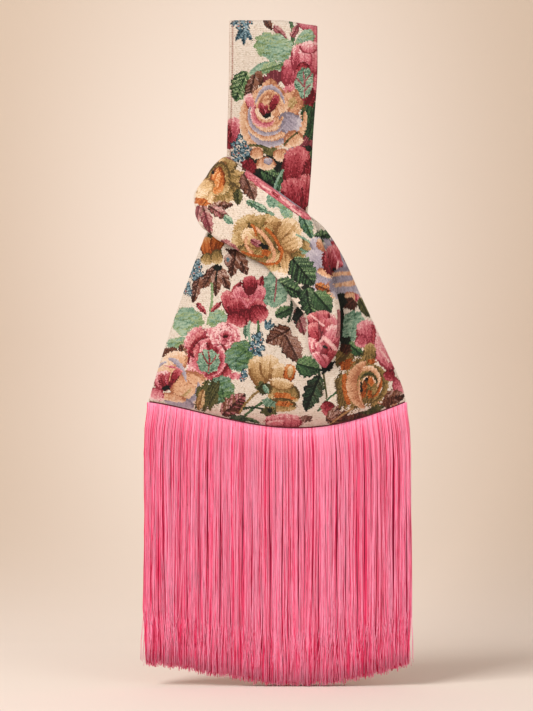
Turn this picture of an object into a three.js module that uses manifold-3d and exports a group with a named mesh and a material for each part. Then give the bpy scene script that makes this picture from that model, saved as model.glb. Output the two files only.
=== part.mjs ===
// A fringed knot bag: two tapestry panels sewn into a flat pocket, with one long and one short handle.
// The long handle is pulled through the loop of the short one, which makes the knot.
// Millimetres, +Z up, the front faces -Y. The origin is the inside top of the long handle's loop.
import * as THREE from 'three';
import Module from 'manifold-3d';
import { mergeVertices } from 'three/addons/utils/BufferGeometryUtils.js';

const wasm = await Module();
wasm.setup();

// Cloth
const clothThickness = 2;
const handleThickness = 3;
const seamAllowance = 5;
const pieceGap = 0.5;
const restingGap = 0.7;

// Long handle
const strapWidth = 87;
const strapDrop = 204;
const strapSlant = 62;
const rootGap = 1.9;
const loopTopRadius = 8;
const loopHalfGap = 12;
const knotHalfGap = 5.6;
const loopTopDroop = 5;
const droopFrom = 0.55;
const droopFadesBy = 0.3;
const loopOpensBy = 0.12;
const settlesFrom = 0.6;
const meetsRimFrom = 0.72;

// Short handle
const knotDrop = 132;
const bandDrop = 215;
const bandPuff = 7;
const foldRollRadius = 7;
const tuckRadius = 6;
const rollSweep = THREE.MathUtils.degToRad(110);
const turnSquareness = 0.6;
const leastBend = 0.05;
const bendsShareOfWidth = 0.7;

// Pouch
const pouchWidth = 257;
const pouchHeight = 168;
const pouchShift = 3.6;
const pouchHalfDepth = 22;
const leftSeamBulge = 2.4;
const rightSeamBulge = 11;
const bottomBow = 26;
const bottomBowSkew = 1.25;
const bellySquareness = 0.8;
const deepestDentShare = 0.6;

// Fringe
const fringeLength = 257;
const fringeSplay = 6;
const fringeDepth = 18;
const headerHeight = 9;
const headerDepth = 10;
const lockPitch = 12;
const lockOverlap = 2.4;
const lockTaper = 0.3;
const taperFrom = 0.8;
const lockHeadShare = 0.6;
const lockFullBy = 0.3;
const splayedBy = 0.35;
const lockUnevenness = 2;
const lockDepthVariation = 0.1;
const unevennessTurn = 2.4;
const leanTurn = 1.7;

// Grid steps, which are whole numbers. The pouch and the long handle share theirs along the rim.
function whole(steps) {
  return Object.fromEntries(Object.entries(steps).map(([name, count]) => [name, Math.round(count)]));
}
const strapSteps = whole({ across: 12, side: 13, top: 7 });
const bandSteps = whole({ along: 20, middle: 7, edge: 3 });
const pouchSteps = whole({ across: 20, down: 15 });
const lockSteps = whole({ sides: 8, down: 6 });

// Colours of the cloth and of the fringe
const tapestry = { color: 0xd9c7a8, roughness: 0.9, metalness: 0 };
const tapestryDark = { color: 0xb98d79, roughness: 0.9, metalness: 0 };
const tapestryRose = { color: 0xc98f86, roughness: 0.9, metalness: 0 };
const rayonPink = { color: 0xe85f8f, roughness: 0.5, metalness: 0 };

// The long handle's two edges: sideways in shares of strapWidth, down in shares of the edge's own drop
const strapLeftEdge = [
  { down: 0, side: -0.507 },
  { down: 0.25, side: -0.512 },
  { down: 0.58, side: -0.533 },
  { down: 0.66, side: -0.535 },
  { down: 0.8, side: -0.575 },
  { down: 1, side: -0.7 },
];
const strapRightEdge = [
  { down: 0, side: 0.503 },
  { down: 0.18, side: 0.5 },
  { down: 0.4, side: 0.455 },
  { down: 0.55, side: 0.43 },
  { down: 0.69, side: 0.393 },
  { down: 0.85, side: 0.33 },
  { down: 1, side: 0.19 },
];
// How far the two plies of the loop stand apart on the way down: 0 at the knot's gap, 1 at the loop's
const strapSpread = [
  { down: 0, open: 0.45 },
  { down: 0.12, open: 0.8 },
  { down: 0.3, open: 1 },
  { down: 0.5, open: 0.6 },
  { down: 0.64, open: 0.02 },
  { down: 0.8, open: 0 },
  { down: 1, open: 0 },
];

// The short handle's front, from the tip of its pleat up and round the long handle's left side.
// low and high are its two edges: sideways in shares of strapWidth, down in shares of bandDrop.
// puff, roll and tuck are shares of the band's swell, its upper roll and its lower tuck;
// turn is the way round the long handle, 1 at its far left.
const bandRows = [
  { at: 0, lowX: 0.535, lowZ: 0.985, highX: 0.61, highZ: 0.99, puff: 0.1, roll: 0.3, tuck: 0.1, turn: 0 },
  { at: 0.09, lowX: 0.4, lowZ: 0.915, highX: 0.735, highZ: 0.91, puff: 0.5, roll: 0.85, tuck: 0.1, turn: 0 },
  { at: 0.18, lowX: 0.375, lowZ: 0.825, highX: 0.765, highZ: 0.81, puff: 0.6, roll: 1, tuck: 0.1, turn: 0 },
  { at: 0.25, lowX: 0.365, lowZ: 0.76, highX: 0.76, highZ: 0.71, puff: 0.6, roll: 1, tuck: 0.1, turn: 0 },
  { at: 0.32, lowX: 0.275, lowZ: 0.715, highX: 0.715, highZ: 0.63, puff: 0.6, roll: 0.9, tuck: 0.1, turn: 0 },
  { at: 0.39, lowX: 0.17, lowZ: 0.66, highX: 0.67, highZ: 0.54, puff: 0.7, roll: 0.75, tuck: 0.1, turn: 0 },
  { at: 0.47, lowX: 0.045, lowZ: 0.59, highX: 0.6, highZ: 0.437, puff: 0.8, roll: 0.6, tuck: 0.2, turn: 0 },
  { at: 0.57, lowX: -0.12, lowZ: 0.52, highX: 0.436, highZ: 0.288, puff: 0.8, roll: 0.5, tuck: 0.4, turn: 0 },
  { at: 0.67, lowX: -0.295, lowZ: 0.484, highX: 0.205, highZ: 0.209, puff: 0.9, roll: 0.5, tuck: 0.6, turn: 0 },
  { at: 0.76, lowX: -0.48, lowZ: 0.437, highX: -0.1, highZ: 0.121, puff: 1, roll: 0.5, tuck: 0.7, turn: 0 },
  { at: 0.84, lowX: -0.655, lowZ: 0.4, highX: -0.365, highZ: 0.051, puff: 1, roll: 0.5, tuck: 0.7, turn: 0 },
  { at: 0.9, lowX: -0.775, lowZ: 0.36, highX: -0.55, highZ: 0.004, puff: 1, roll: 0.5, tuck: 0.7, turn: 0.2 },
  { at: 0.95, lowX: -0.87, lowZ: 0.335, highX: -0.67, highZ: 0.025, puff: 0.9, roll: 0.5, tuck: 0.6, turn: 0.62 },
  { at: 1, lowX: -0.92, lowZ: 0.3, highX: -0.74, highZ: 0.075, puff: 0.8, roll: 0.5, tuck: 0.5, turn: 1 },
];

// The stretch of the pouch's rim that the long handle grows from
const rootOnRim = { start: 0.1, end: 0.7 };
// The pouch's front rim, hidden by the band: sideways in shares of strapWidth, down in shares of bandDrop
const rimRows = [
  { at: 0, side: -0.775, down: 0.363 },
  { at: 0.1, side: -0.68, down: 0.347 },
  { at: 0.25, side: -0.44, down: 0.4 },
  { at: 0.4, side: -0.19, down: 0.463 },
  { at: 0.55, side: 0.06, down: 0.549 },
  { at: 0.68, side: 0.29, down: 0.63 },
  { at: 0.78, side: 0.455, down: 0.62 },
  { at: 0.87, side: 0.53, down: 0.525 },
  { at: 0.94, side: 0.51, down: 0.405 },
  { at: 1, side: 0.436, down: 0.288 },
];
// The right side seam's bulge on the way down, in shares of rightSeamBulge
const rightSeamRows = [
  { down: 0, out: 0 },
  { down: 0.06, out: 0.65 },
  { down: 0.2, out: 1 },
  { down: 0.4, out: 0.85 },
  { down: 0.6, out: 0.7 },
  { down: 0.78, out: 0.55 },
  { down: 0.92, out: 0.36 },
  { down: 1, out: 0 },
];
// The pouch's fullness on the way down, in shares of pouchHalfDepth
const fullnessRows = [
  { down: -0.2, full: 0.2 },
  { down: 0, full: 0.27 },
  { down: 0.2, full: 0.45 },
  { down: 0.45, full: 0.77 },
  { down: 0.72, full: 1 },
  { down: 0.88, full: 0.82 },
  { down: 0.96, full: 0.45 },
  { down: 1, full: 0 },
];
// Soft dents in the pouch's front and back: place and reach in shares of pouchWidth and pouchHeight
const dentRows = [
  { side: 0.07, down: 0.62, wide: 0.05, tall: 0.1, deep: 5 },
  { side: 0.19, down: 0.98, wide: 0.022, tall: 0.16, deep: 3 },
  { side: -0.12, down: 0.3, wide: 0.16, tall: 0.09, deep: 1.6 },
  { side: 0.32, down: 0.55, wide: 0.03, tall: 0.3, deep: 2 },
  { side: -0.24, down: 0.8, wide: 0.05, tall: 0.2, deep: 1.4 },
];

// A table's column read smoothly between its rows
function read(rows, key, column, place) {
  const last = rows.length - 1;
  if (place <= rows[0][key]) return rows[0][column];
  if (place >= rows[last][key]) return rows[last][column];
  let row = 0;
  while (rows[row + 1][key] < place) row += 1;
  const slope = (index) => {
    const before = rows[Math.max(index - 1, 0)];
    const after = rows[Math.min(index + 1, last)];
    return (after[column] - before[column]) / (after[key] - before[key]);
  };
  const span = rows[row + 1][key] - rows[row][key];
  const share = (place - rows[row][key]) / span;
  const rise = rows[row + 1][column] - rows[row][column];
  const bend = (1 - share) * (slope(row) * span - rise) - share * (slope(row + 1) * span - rise);
  return rows[row][column] + share * rise + share * (1 - share) * bend;
}

// Closed geometry from a list of corner points and triangles, with its faces turned outwards
function closedGeometry(corners, faces) {
  const [a, b, c] = [new THREE.Vector3(), new THREE.Vector3(), new THREE.Vector3()];
  let volume = 0;
  for (const [i, j, k] of faces) {
    a.copy(corners[i]);
    b.copy(corners[j]);
    c.copy(corners[k]);
    volume += a.dot(b.cross(c));
  }
  const turned = volume < 0 ? faces.map(([i, j, k]) => [i, k, j]) : faces;
  const geometry = new THREE.BufferGeometry();
  const places = corners.flatMap((corner) => [corner.x, corner.y, corner.z]);
  geometry.setAttribute('position', new THREE.Float32BufferAttribute(places, 3));
  geometry.setIndex(turned.flat());
  return geometry;
}

// Two triangles on the four corners of a grid cell
function cell(faces, a, b, c, d) {
  faces.push([a, b, c], [a, c, d]);
}

// A cloth wall: the grid of points on its middle, given half its thickness to each side
function clothWall(middle, columns, rows, thickness) {
  const points = [];
  for (let row = 0; row <= rows; row += 1) {
    for (let column = 0; column <= columns; column += 1) points.push(middle(column, row));
  }
  const index = (column, row) => row * (columns + 1) + column;
  const at = (column, row) => points[index(THREE.MathUtils.clamp(column, 0, columns),
    THREE.MathUtils.clamp(row, 0, rows))];
  const corners = [];
  for (const side of [1, -1]) {
    for (let row = 0; row <= rows; row += 1) {
      for (let column = 0; column <= columns; column += 1) {
        const across = at(column + 1, row).clone().sub(at(column - 1, row));
        const along = at(column, row + 1).clone().sub(at(column, row - 1));
        const normal = across.cross(along).normalize();
        corners.push(at(column, row).clone().addScaledVector(normal, side * thickness / 2));
      }
    }
  }
  const under = points.length;
  const faces = [];
  for (let row = 0; row < rows; row += 1) {
    for (let column = 0; column < columns; column += 1) {
      const [a, b] = [index(column, row), index(column + 1, row)];
      const [c, d] = [index(column + 1, row + 1), index(column, row + 1)];
      cell(faces, a, b, c, d);
      cell(faces, under + a, under + d, under + c, under + b);
    }
  }
  for (let column = 0; column < columns; column += 1) {
    for (const row of [0, rows]) {
      const [a, b] = row === 0
        ? [index(column + 1, row), index(column, row)]
        : [index(column, row), index(column + 1, row)];
      cell(faces, a, b, under + b, under + a);
    }
  }
  for (let row = 0; row < rows; row += 1) {
    for (const column of [0, columns]) {
      const [a, b] = column === 0
        ? [index(column, row), index(column, row + 1)]
        : [index(column, row + 1), index(column, row)];
      cell(faces, a, b, under + b, under + a);
    }
  }
  return closedGeometry(corners, faces);
}

// The pouch's outline
function rim(share) {
  return {
    x: strapWidth * read(rimRows, 'at', 'side', share),
    z: -knotDrop - bandDrop * read(rimRows, 'at', 'down', share),
  };
}
const leftShoulder = rim(0);
const rightShoulder = rim(1);
const cornerLevel = leftShoulder.z - pouchHeight;
const leftCorner = pouchShift - pouchWidth / 2;
const rightCorner = pouchShift + pouchWidth / 2;

function leftSeam(share) {
  return {
    x: THREE.MathUtils.lerp(leftShoulder.x, leftCorner, share) - leftSeamBulge * Math.sin(Math.PI * share),
    z: THREE.MathUtils.lerp(leftShoulder.z, cornerLevel, share),
  };
}
function rightSeam(share) {
  const bulge = rightSeamBulge * read(rightSeamRows, 'down', 'out', share);
  return {
    x: THREE.MathUtils.lerp(rightShoulder.x, rightCorner, share) + bulge,
    z: THREE.MathUtils.lerp(rightShoulder.z, cornerLevel, share),
  };
}
function bottomLevel(x) {
  const share = THREE.MathUtils.clamp((x - leftCorner) / pouchWidth, 0, 1);
  return cornerLevel - bottomBow * Math.sin(Math.PI * share ** bottomBowSkew);
}

// Half the pouch's inside depth at a place on its front view, nothing on its seams
function pouchHalf(x, z) {
  const leftShare = (leftShoulder.z - z) / (leftShoulder.z - cornerLevel);
  const rightShare = (rightShoulder.z - z) / (rightShoulder.z - cornerLevel);
  const left = leftSeam(Math.min(leftShare, 1)).x + seamAllowance;
  const right = rightSeam(THREE.MathUtils.clamp(rightShare, 0, 1)).x - seamAllowance;
  const across = THREE.MathUtils.clamp((x - left) / (right - left), 0, 1);
  const floor = bottomLevel(x) + seamAllowance;
  const down = (leftShoulder.z - z) / (leftShoulder.z - floor);
  const full = read(fullnessRows, 'down', 'full', down);
  const swell = pouchHalfDepth * full * Math.sin(Math.PI * across) ** bellySquareness;
  let dents = 0;
  for (const dent of dentRows) {
    const sideways = (x - pouchShift - dent.side * pouchWidth) / (dent.wide * pouchWidth);
    const downwards = (leftShoulder.z - dent.down * pouchHeight - z) / (dent.tall * pouchHeight);
    dents += dent.deep * Math.exp(-sideways * sideways - downwards * downwards);
  }
  return swell * (1 - Math.min(dents / pouchHalfDepth, deepestDentShare));
}

// A place on the pouch's front view, its seams taken in by the given inset
function pouchPlace(u, v, inset) {
  const top = rim(u);
  const bottomX = THREE.MathUtils.lerp(leftCorner + inset, rightCorner - inset, u);
  const bottom = { x: bottomX, z: bottomLevel(bottomX) + inset };
  const left = leftSeam(v);
  const right = rightSeam(v);
  left.x += inset;
  right.x -= inset;
  left.z += inset * v;
  right.z += inset * v;
  const corners = { left: leftSeam(0), right: rightSeam(0), low: leftSeam(1), lowRight: rightSeam(1) };
  corners.left.x += inset;
  corners.right.x -= inset;
  corners.low.x += inset;
  corners.lowRight.x -= inset;
  corners.low.z += inset;
  corners.lowRight.z += inset;
  top.x += inset * (1 - 2 * u);
  const blend = (axis) => (1 - v) * top[axis] + v * bottom[axis] + (1 - u) * left[axis] + u * right[axis]
    - (1 - u) * (1 - v) * corners.left[axis] - u * (1 - v) * corners.right[axis]
    - (1 - u) * v * corners.low[axis] - u * v * corners.lowRight[axis];
  return { x: blend('x'), z: blend('z') };
}

// The pouch: an outer skin and an inner pocket, joined round the rim; the skins meet in the seams
function pouchGeometry() {
  const { across, down } = pouchSteps;
  const corners = [];
  const faces = [];
  const grid = (inset, side, extra, shared) => {
    const ids = [];
    for (let row = 0; row <= down; row += 1) {
      ids.push([]);
      for (let column = 0; column <= across; column += 1) {
        const onSeam = column === 0 || column === across || row === down;
        if (shared && onSeam) {
          ids[row].push(shared[row][column]);
        } else {
          const place = pouchPlace(column / across, row / down, inset);
          const depth = inset > 0 && onSeam ? 0 : pouchHalf(place.x, place.z) + extra;
          ids[row].push(corners.length);
          corners.push(new THREE.Vector3(place.x, side * depth, place.z));
        }
      }
    }
    return ids;
  };
  const outerFront = grid(0, -1, clothThickness, null);
  const outerBack = grid(0, 1, clothThickness, null);
  const innerFront = grid(seamAllowance, -1, 0, null);
  const innerBack = grid(seamAllowance, 1, 0, innerFront);
  const skin = (ids, forward) => {
    for (let row = 0; row < down; row += 1) {
      for (let column = 0; column < across; column += 1) {
        const ring = [ids[row][column], ids[row][column + 1], ids[row + 1][column + 1], ids[row + 1][column]];
        cell(faces, ...(forward ? ring : ring.reverse()));
      }
    }
  };
  skin(outerFront, false);
  skin(outerBack, true);
  skin(innerFront, true);
  skin(innerBack, false);
  for (let row = 0; row < down; row += 1) {
    cell(faces, outerFront[row + 1][0], outerFront[row][0], outerBack[row][0], outerBack[row + 1][0]);
    cell(faces, outerBack[row + 1][across], outerBack[row][across],
      outerFront[row][across], outerFront[row + 1][across]);
  }
  for (let column = 0; column < across; column += 1) {
    cell(faces, outerFront[down][column + 1], outerFront[down][column],
      outerBack[down][column], outerBack[down][column + 1]);
    cell(faces, outerFront[0][column], outerFront[0][column + 1],
      innerFront[0][column + 1], innerFront[0][column]);
    cell(faces, innerBack[0][column], innerBack[0][column + 1],
      outerBack[0][column + 1], outerBack[0][column]);
  }
  faces.push([outerBack[0][0], outerFront[0][0], innerFront[0][0]]);
  faces.push([outerFront[0][across], outerBack[0][across], innerFront[0][across]]);
  return closedGeometry(corners, faces);
}

// The long handle's middle: up its front ply, over the top and down its back ply
function strapMiddle(column, row) {
  const { across, side, top } = strapSteps;
  const share = column / across;
  const radius = loopTopRadius + handleThickness / 2;
  const droop = loopTopDroop * THREE.MathUtils.smoothstep(share, droopFrom, 1);
  const arcStart = handleThickness / 2 - radius;
  if (row > side && row < side + top) {
    const angle = Math.PI * (row - side) / top;
    const x = strapWidth * THREE.MathUtils.lerp(strapLeftEdge[0].side, strapRightEdge[0].side, share);
    return new THREE.Vector3(x, -radius * Math.cos(angle), arcStart + radius * Math.sin(angle) - droop);
  }
  const front = row <= side;
  const down = front ? (side - row) / side : (row - side - top) / side;
  const leftX = strapWidth * read(strapLeftEdge, 'down', 'side', down);
  const rightX = strapWidth * read(strapRightEdge, 'down', 'side', down);
  const root = rim(THREE.MathUtils.lerp(rootOnRim.start, rootOnRim.end, share));
  const settle = THREE.MathUtils.smoothstep(down, settlesFrom, 1);
  const level = arcStart - down * (strapDrop + arcStart + share * strapSlant)
    - droop * (1 - THREE.MathUtils.smoothstep(down, 0, droopFadesBy));
  const x = THREE.MathUtils.lerp(THREE.MathUtils.lerp(leftX, rightX, share), root.x, settle);
  const z = THREE.MathUtils.lerp(level, root.z + rootGap, settle);
  const spread = THREE.MathUtils.lerp(knotHalfGap, loopHalfGap, read(strapSpread, 'down', 'open', down));
  const opened = THREE.MathUtils.smoothstep(down, 0, loopOpensBy);
  const loose = THREE.MathUtils.lerp(radius, spread + handleThickness / 2, opened);
  const atRim = Math.max(pouchHalf(x, z) + clothThickness / 2, handleThickness / 2 + pieceGap);
  const depth = THREE.MathUtils.lerp(loose, atRim, THREE.MathUtils.smoothstep(down, meetsRimFrom, 1));
  return new THREE.Vector3(x, front ? -depth : depth, z);
}

// How far what lies under the band stands forward at a place on the front view
function underBand(x, z) {
  const strapFace = knotHalfGap + handleThickness;
  const pouchFace = pouchHalf(x, z) + clothThickness / 2 + handleThickness / 2;
  return Math.max(strapFace, pouchFace);
}

// An edge that bends back: its reach sideways and its fall backwards after the given share of its length
function bentEdge(radius, share, part) {
  const curve = Math.max(share, leastBend) / radius;
  const bend = curve * radius * rollSweep * part;
  return { reach: Math.sin(bend) / curve, fall: (1 - Math.cos(bend)) / curve };
}
function bentExtent(radius, share) {
  const curve = Math.max(share, leastBend) / radius;
  const bend = curve * radius * rollSweep;
  return bend > Math.PI / 2 ? 1 / curve : Math.sin(bend) / curve;
}

// The short handle's middle: column across from its lower edge, row from the front pleat's tip,
// round the long handle's left side and back to the mirrored pleat behind
function bandMiddle(column, row) {
  const { along, middle, edge } = bandSteps;
  const front = row <= along;
  const at = front ? row / along : (2 * along - row) / along;
  const value = (name) => read(bandRows, 'at', name, at);
  const low = new THREE.Vector2(strapWidth * value('lowX'), -knotDrop - bandDrop * value('lowZ'));
  const high = new THREE.Vector2(strapWidth * value('highX'), -knotDrop - bandDrop * value('highZ'));
  const upward = high.clone().sub(low);
  const width = upward.length() - handleThickness;
  upward.normalize();
  low.addScaledVector(upward, handleThickness / 2);
  const bothBends = bentExtent(tuckRadius, value('tuck')) + bentExtent(foldRollRadius, value('roll'));
  const room = Math.min(width * bendsShareOfWidth / bothBends, 1);
  const tuckSize = tuckRadius * room;
  const rollSize = foldRollRadius * room;
  const tuckEnd = bentExtent(tuckSize, value('tuck'));
  const rollEnd = bentExtent(rollSize, value('roll'));
  const tuckFall = bentEdge(tuckSize, value('tuck'), 1).fall;
  const rollFall = bentEdge(rollSize, value('roll'), 1).fall;
  let reach = 0;
  let lift = 0;
  if (column < edge) {
    const bent = bentEdge(tuckSize, value('tuck'), (edge - column) / edge);
    reach = tuckEnd - bent.reach;
    lift = tuckFall - bent.fall;
  } else if (column <= edge + middle) {
    const share = (column - edge) / middle;
    reach = THREE.MathUtils.lerp(tuckEnd, width - rollEnd, share);
    const puff = room * bandPuff * value('puff') * Math.sin(Math.PI * share);
    lift = THREE.MathUtils.lerp(tuckFall, rollFall, share) + puff;
  } else {
    const bent = bentEdge(rollSize, value('roll'), (column - edge - middle) / edge);
    reach = width - rollEnd + bent.reach;
    lift = rollFall - bent.fall;
  }
  const place = low.clone().addScaledVector(upward, reach);
  const turn = value('turn') * Math.PI / 2;
  const outward = new THREE.Vector2(-upward.y, upward.x);
  const swell = (lift - tuckFall) * Math.sin(turn);
  const depth = (underBand(place.x, place.y) + restingGap + handleThickness / 2 + lift)
    * Math.cos(turn) ** turnSquareness;
  place.addScaledVector(outward, swell);
  return new THREE.Vector3(place.x, front ? -depth : depth, place.y);
}

// A tube through rings of points, closed by a fan at each end
function ringTube(rings) {
  const sides = rings[0].length;
  const corners = rings.flat();
  const faces = [];
  for (let ring = 0; ring < rings.length - 1; ring += 1) {
    for (let side = 0; side < sides; side += 1) {
      const next = (side + 1) % sides;
      const [here, below] = [ring * sides, (ring + 1) * sides];
      cell(faces, here + side, here + next, below + next, below + side);
    }
  }
  const last = (rings.length - 1) * sides;
  for (let side = 1; side < sides - 1; side += 1) {
    faces.push([0, side + 1, side]);
    faces.push([last, last + side, last + side + 1]);
  }
  return closedGeometry(corners, faces);
}

// One lock of the fringe: it hangs from the header and narrows to its cut end
function lockGeometry(number, count) {
  const { sides, down } = lockSteps;
  const share = (number + 0.5) / count;
  const headX = THREE.MathUtils.lerp(leftCorner, rightCorner, share);
  const uneven = lockUnevenness * Math.sin(number * unevennessTurn);
  const lean = Math.cos(number * leanTurn);
  const startLevel = bottomLevel(headX) - pieceGap - headerHeight / 2;
  const endLevel = bottomLevel(headX) - pieceGap - fringeLength + uneven;
  const rings = [];
  for (let step = 0; step <= down; step += 1) {
    const part = step / down;
    const splay = fringeSplay * (2 * share - 1) * THREE.MathUtils.smoothstep(part, 0, splayedBy);
    const taper = 1 - lockTaper * THREE.MathUtils.smoothstep(part, taperFrom, 1);
    const halfWidth = (lockPitch / 2 + lockOverlap / 2) * taper;
    const full = THREE.MathUtils.lerp(lockHeadShare, 1, THREE.MathUtils.smoothstep(part, 0, lockFullBy));
    const halfDepth = fringeDepth / 2 * full * taper * (1 - lockDepthVariation * lean);
    const ring = [];
    for (let side = 0; side < sides; side += 1) {
      const angle = 2 * Math.PI * (side + 0.5) / sides;
      const x = headX + splay + halfWidth * Math.cos(angle);
      const y = lean * part + halfDepth * Math.sin(angle);
      ring.push(new THREE.Vector3(x, y, THREE.MathUtils.lerp(startLevel, endLevel, part)));
    }
    rings.push(ring);
  }
  return ringTube(rings);
}

// The fringe's header: a soft tape under the whole bottom seam
function headerGeometry(count) {
  const rings = [];
  for (let step = 0; step <= count; step += 1) {
    const x = THREE.MathUtils.lerp(leftCorner, rightCorner, step / count);
    const level = bottomLevel(x) - pieceGap - headerHeight / 2;
    const ring = [];
    for (let side = 0; side < lockSteps.sides; side += 1) {
      const angle = 2 * Math.PI * (side + 0.5) / lockSteps.sides;
      const flat = Math.cos(Math.PI / lockSteps.sides);
      ring.push(new THREE.Vector3(x, headerDepth / 2 * Math.cos(angle),
        level + headerHeight / 2 / flat * Math.sin(angle)));
    }
    rings.push(ring);
  }
  return ringTube(rings);
}

// A closed geometry as a solid, and a solid as a geometry
function solidOf(geometry) {
  const merged = mergeVertices(geometry, 1e-4);
  const mesh = new wasm.Mesh({
    numProp: 3,
    vertProperties: new Float32Array(merged.attributes.position.array),
    triVerts: new Uint32Array(merged.index.array),
  });
  return new wasm.Manifold(mesh);
}
function geometryOf(solid) {
  const mesh = solid.getMesh();
  const geometry = new THREE.BufferGeometry();
  geometry.setAttribute('position', new THREE.Float32BufferAttribute(mesh.vertProperties, 3));
  geometry.setIndex([...mesh.triVerts]);
  return geometry;
}

function fringeGeometry() {
  const count = Math.round(pouchWidth / lockPitch);
  let solid = solidOf(headerGeometry(2 * count));
  for (let number = 0; number < count; number += 1) {
    solid = solid.add(solidOf(lockGeometry(number, count)));
  }
  return geometryOf(solid);
}

// The bag
const group = new THREE.Group();
function addPiece(name, geometry, look) {
  geometry.computeVertexNormals();
  const mesh = new THREE.Mesh(geometry, new THREE.MeshStandardMaterial(look));
  mesh.name = name;
  group.add(mesh);
}

const strapRows = 2 * strapSteps.side + strapSteps.top;
const bandColumns = bandSteps.middle + 2 * bandSteps.edge;
addPiece('long_handle', clothWall(strapMiddle, strapSteps.across, strapRows, handleThickness), tapestryRose);
addPiece('short_handle', clothWall(bandMiddle, bandColumns, 2 * bandSteps.along, handleThickness), tapestry);
addPiece('pouch', pouchGeometry(), tapestryDark);
addPiece('fringe', fringeGeometry(), rayonPink);

export default group;
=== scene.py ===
import math

import bmesh
import bpy
import numpy as np
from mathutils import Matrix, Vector


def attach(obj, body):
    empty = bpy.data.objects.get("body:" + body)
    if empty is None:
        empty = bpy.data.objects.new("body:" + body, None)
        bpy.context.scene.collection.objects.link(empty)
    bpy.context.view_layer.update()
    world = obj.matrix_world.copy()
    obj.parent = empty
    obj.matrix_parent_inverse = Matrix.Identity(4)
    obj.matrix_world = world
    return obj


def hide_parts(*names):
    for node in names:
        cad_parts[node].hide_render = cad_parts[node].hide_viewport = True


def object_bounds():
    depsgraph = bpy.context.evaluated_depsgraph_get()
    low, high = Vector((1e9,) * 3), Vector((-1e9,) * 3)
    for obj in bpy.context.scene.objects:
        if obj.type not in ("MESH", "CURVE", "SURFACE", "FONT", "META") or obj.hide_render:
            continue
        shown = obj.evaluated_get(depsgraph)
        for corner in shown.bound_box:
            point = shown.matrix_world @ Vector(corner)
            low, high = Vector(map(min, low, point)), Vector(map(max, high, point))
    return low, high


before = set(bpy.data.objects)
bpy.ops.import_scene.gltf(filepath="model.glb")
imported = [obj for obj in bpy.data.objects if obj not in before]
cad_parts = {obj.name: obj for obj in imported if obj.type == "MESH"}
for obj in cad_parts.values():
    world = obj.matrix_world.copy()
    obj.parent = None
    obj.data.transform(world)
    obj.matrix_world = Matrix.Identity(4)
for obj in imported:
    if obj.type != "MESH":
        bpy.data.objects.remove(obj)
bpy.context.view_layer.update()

# The pouch
# Two panels of rose tapestry sewn together at the sides and the bowed bottom, with an open neck that the
# knot hides. Each cell of a panel's mesh is a stitch of the jacquard, about 1 mm wide, in one thread.
MM = 0.001
# A chart's x and y run in millimetres from the view's top left corner, which lies here
CHART_LEFT = -273.5
CHART_TOP = 23.0
# The x about which the charts are turned over for the bag's back
BAG_MIDDLE = 277.0
# Millimetres: a step of the shading, a row and a run of the streaks, and a small flower's radius
HATCH_ROW = 1.3
STREAK_ROW, STREAK_RUN = 1.2, 4.5
FLOWER_SIZE = 1.9
# The turn in radians from one small flower to the next
BLOSSOM_TURN = 2.4
chance = np.random.default_rng(7)

THREADS = {
    # five tones from dark to pale, then the thread of a flower's heart
    "crimson": ("5e1018", "8a222c", "ae444c", "c8666a", "de908e", "2c0a0c"),
    "pink": ("8c2c38", "b8505c", "d4767e", "e69c9e", "f6ccc6", "9c2034"),
    "ivory_pink": ("d47a82", "e6a09e", "efc0b8", "f5d6cc", "f8e6de", "9c2034"),
    "peach": ("a86848", "ca8c66", "deaa84", "eac09e", "f4d6bc", "7a1822"),
    "lilac": ("80747e", "988c98", "ab9ea8", "bdb0b8", "d2c5c8", "7a1822"),
    "olive_gold": ("544022", "7e6234", "a07f4c", "c09c6a", "d8bc8e", "2c1a0e"),
    "gold": ("80562e", "a47a4a", "c49a68", "dbb688", "eed2b0", "3c1e0e"),
    "rust": ("70300f", "9c4a1c", "be642c", "d08448", "e2ac7c", "2c1a0e"),
    "sage": ("5e7448", "7a9060", "96a87a", "acb68a", "c6c89e", "4a6a3e"),
    "teal": ("2e4836", "507058", "728e76", "90a88c", "b4c4a8", "6c3c34"),
    "pale_teal": ("567860", "76967e", "94ae94", "aec0a4", "c8d4b8", "b06858"),
    "forest": ("10160e", "202e20", "344832", "506448", "76845e", "0a100a"),
    "green": ("1e321e", "345032", "4e6c42", "6e8a58", "92a678", "182818"),
    "olive_leaf": ("2c2c16", "464424", "625c34", "80784c", "a09870", "20200e"),
    "brown": ("32180f", "50291c", "70402e", "90604a", "b08670", "20100a"),
    "mauve_brown": ("482a20", "6c4436", "90665a", "ae887a", "c8a898", "2c1610"),
    "rose_brown": ("6c2830", "8e444a", "ac6868", "c48a86", "d8aea4", "4c1c20"),
    "blue": ("22343c", "385460", "587680", "829aa2", "aebcc0", "b85a34"),
    # near black: the darkest stitches, and also patches of painted shade in folds, recesses and under the
    # pleat
    "night": ("0a0d09", "121510", "1d2018", "2e2f22", "46442f", "080a08"),
}
IVORY = ("cbb69e", "dfcab7", "ead8c6", "f2e4d6")


def linear(code):
    value = np.array([int(code[i:i + 2], 16) for i in (0, 2, 4)]) / 255
    return np.where(value <= 0.04045, value / 12.92, ((value + 0.055) / 1.055) ** 2.4)


spools = {name: np.array([linear(code) for code in codes]) for name, codes in THREADS.items()}
ivory = np.array([linear(code) for code in IVORY])
hatches = chance.random(199)


def ease(low, high, value):
    share = np.clip((value - low) / (high - low), 0, 1)
    return share * share * (3 - 2 * share)


def mix(low, high, share):
    return low + (high - low) * share


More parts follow.
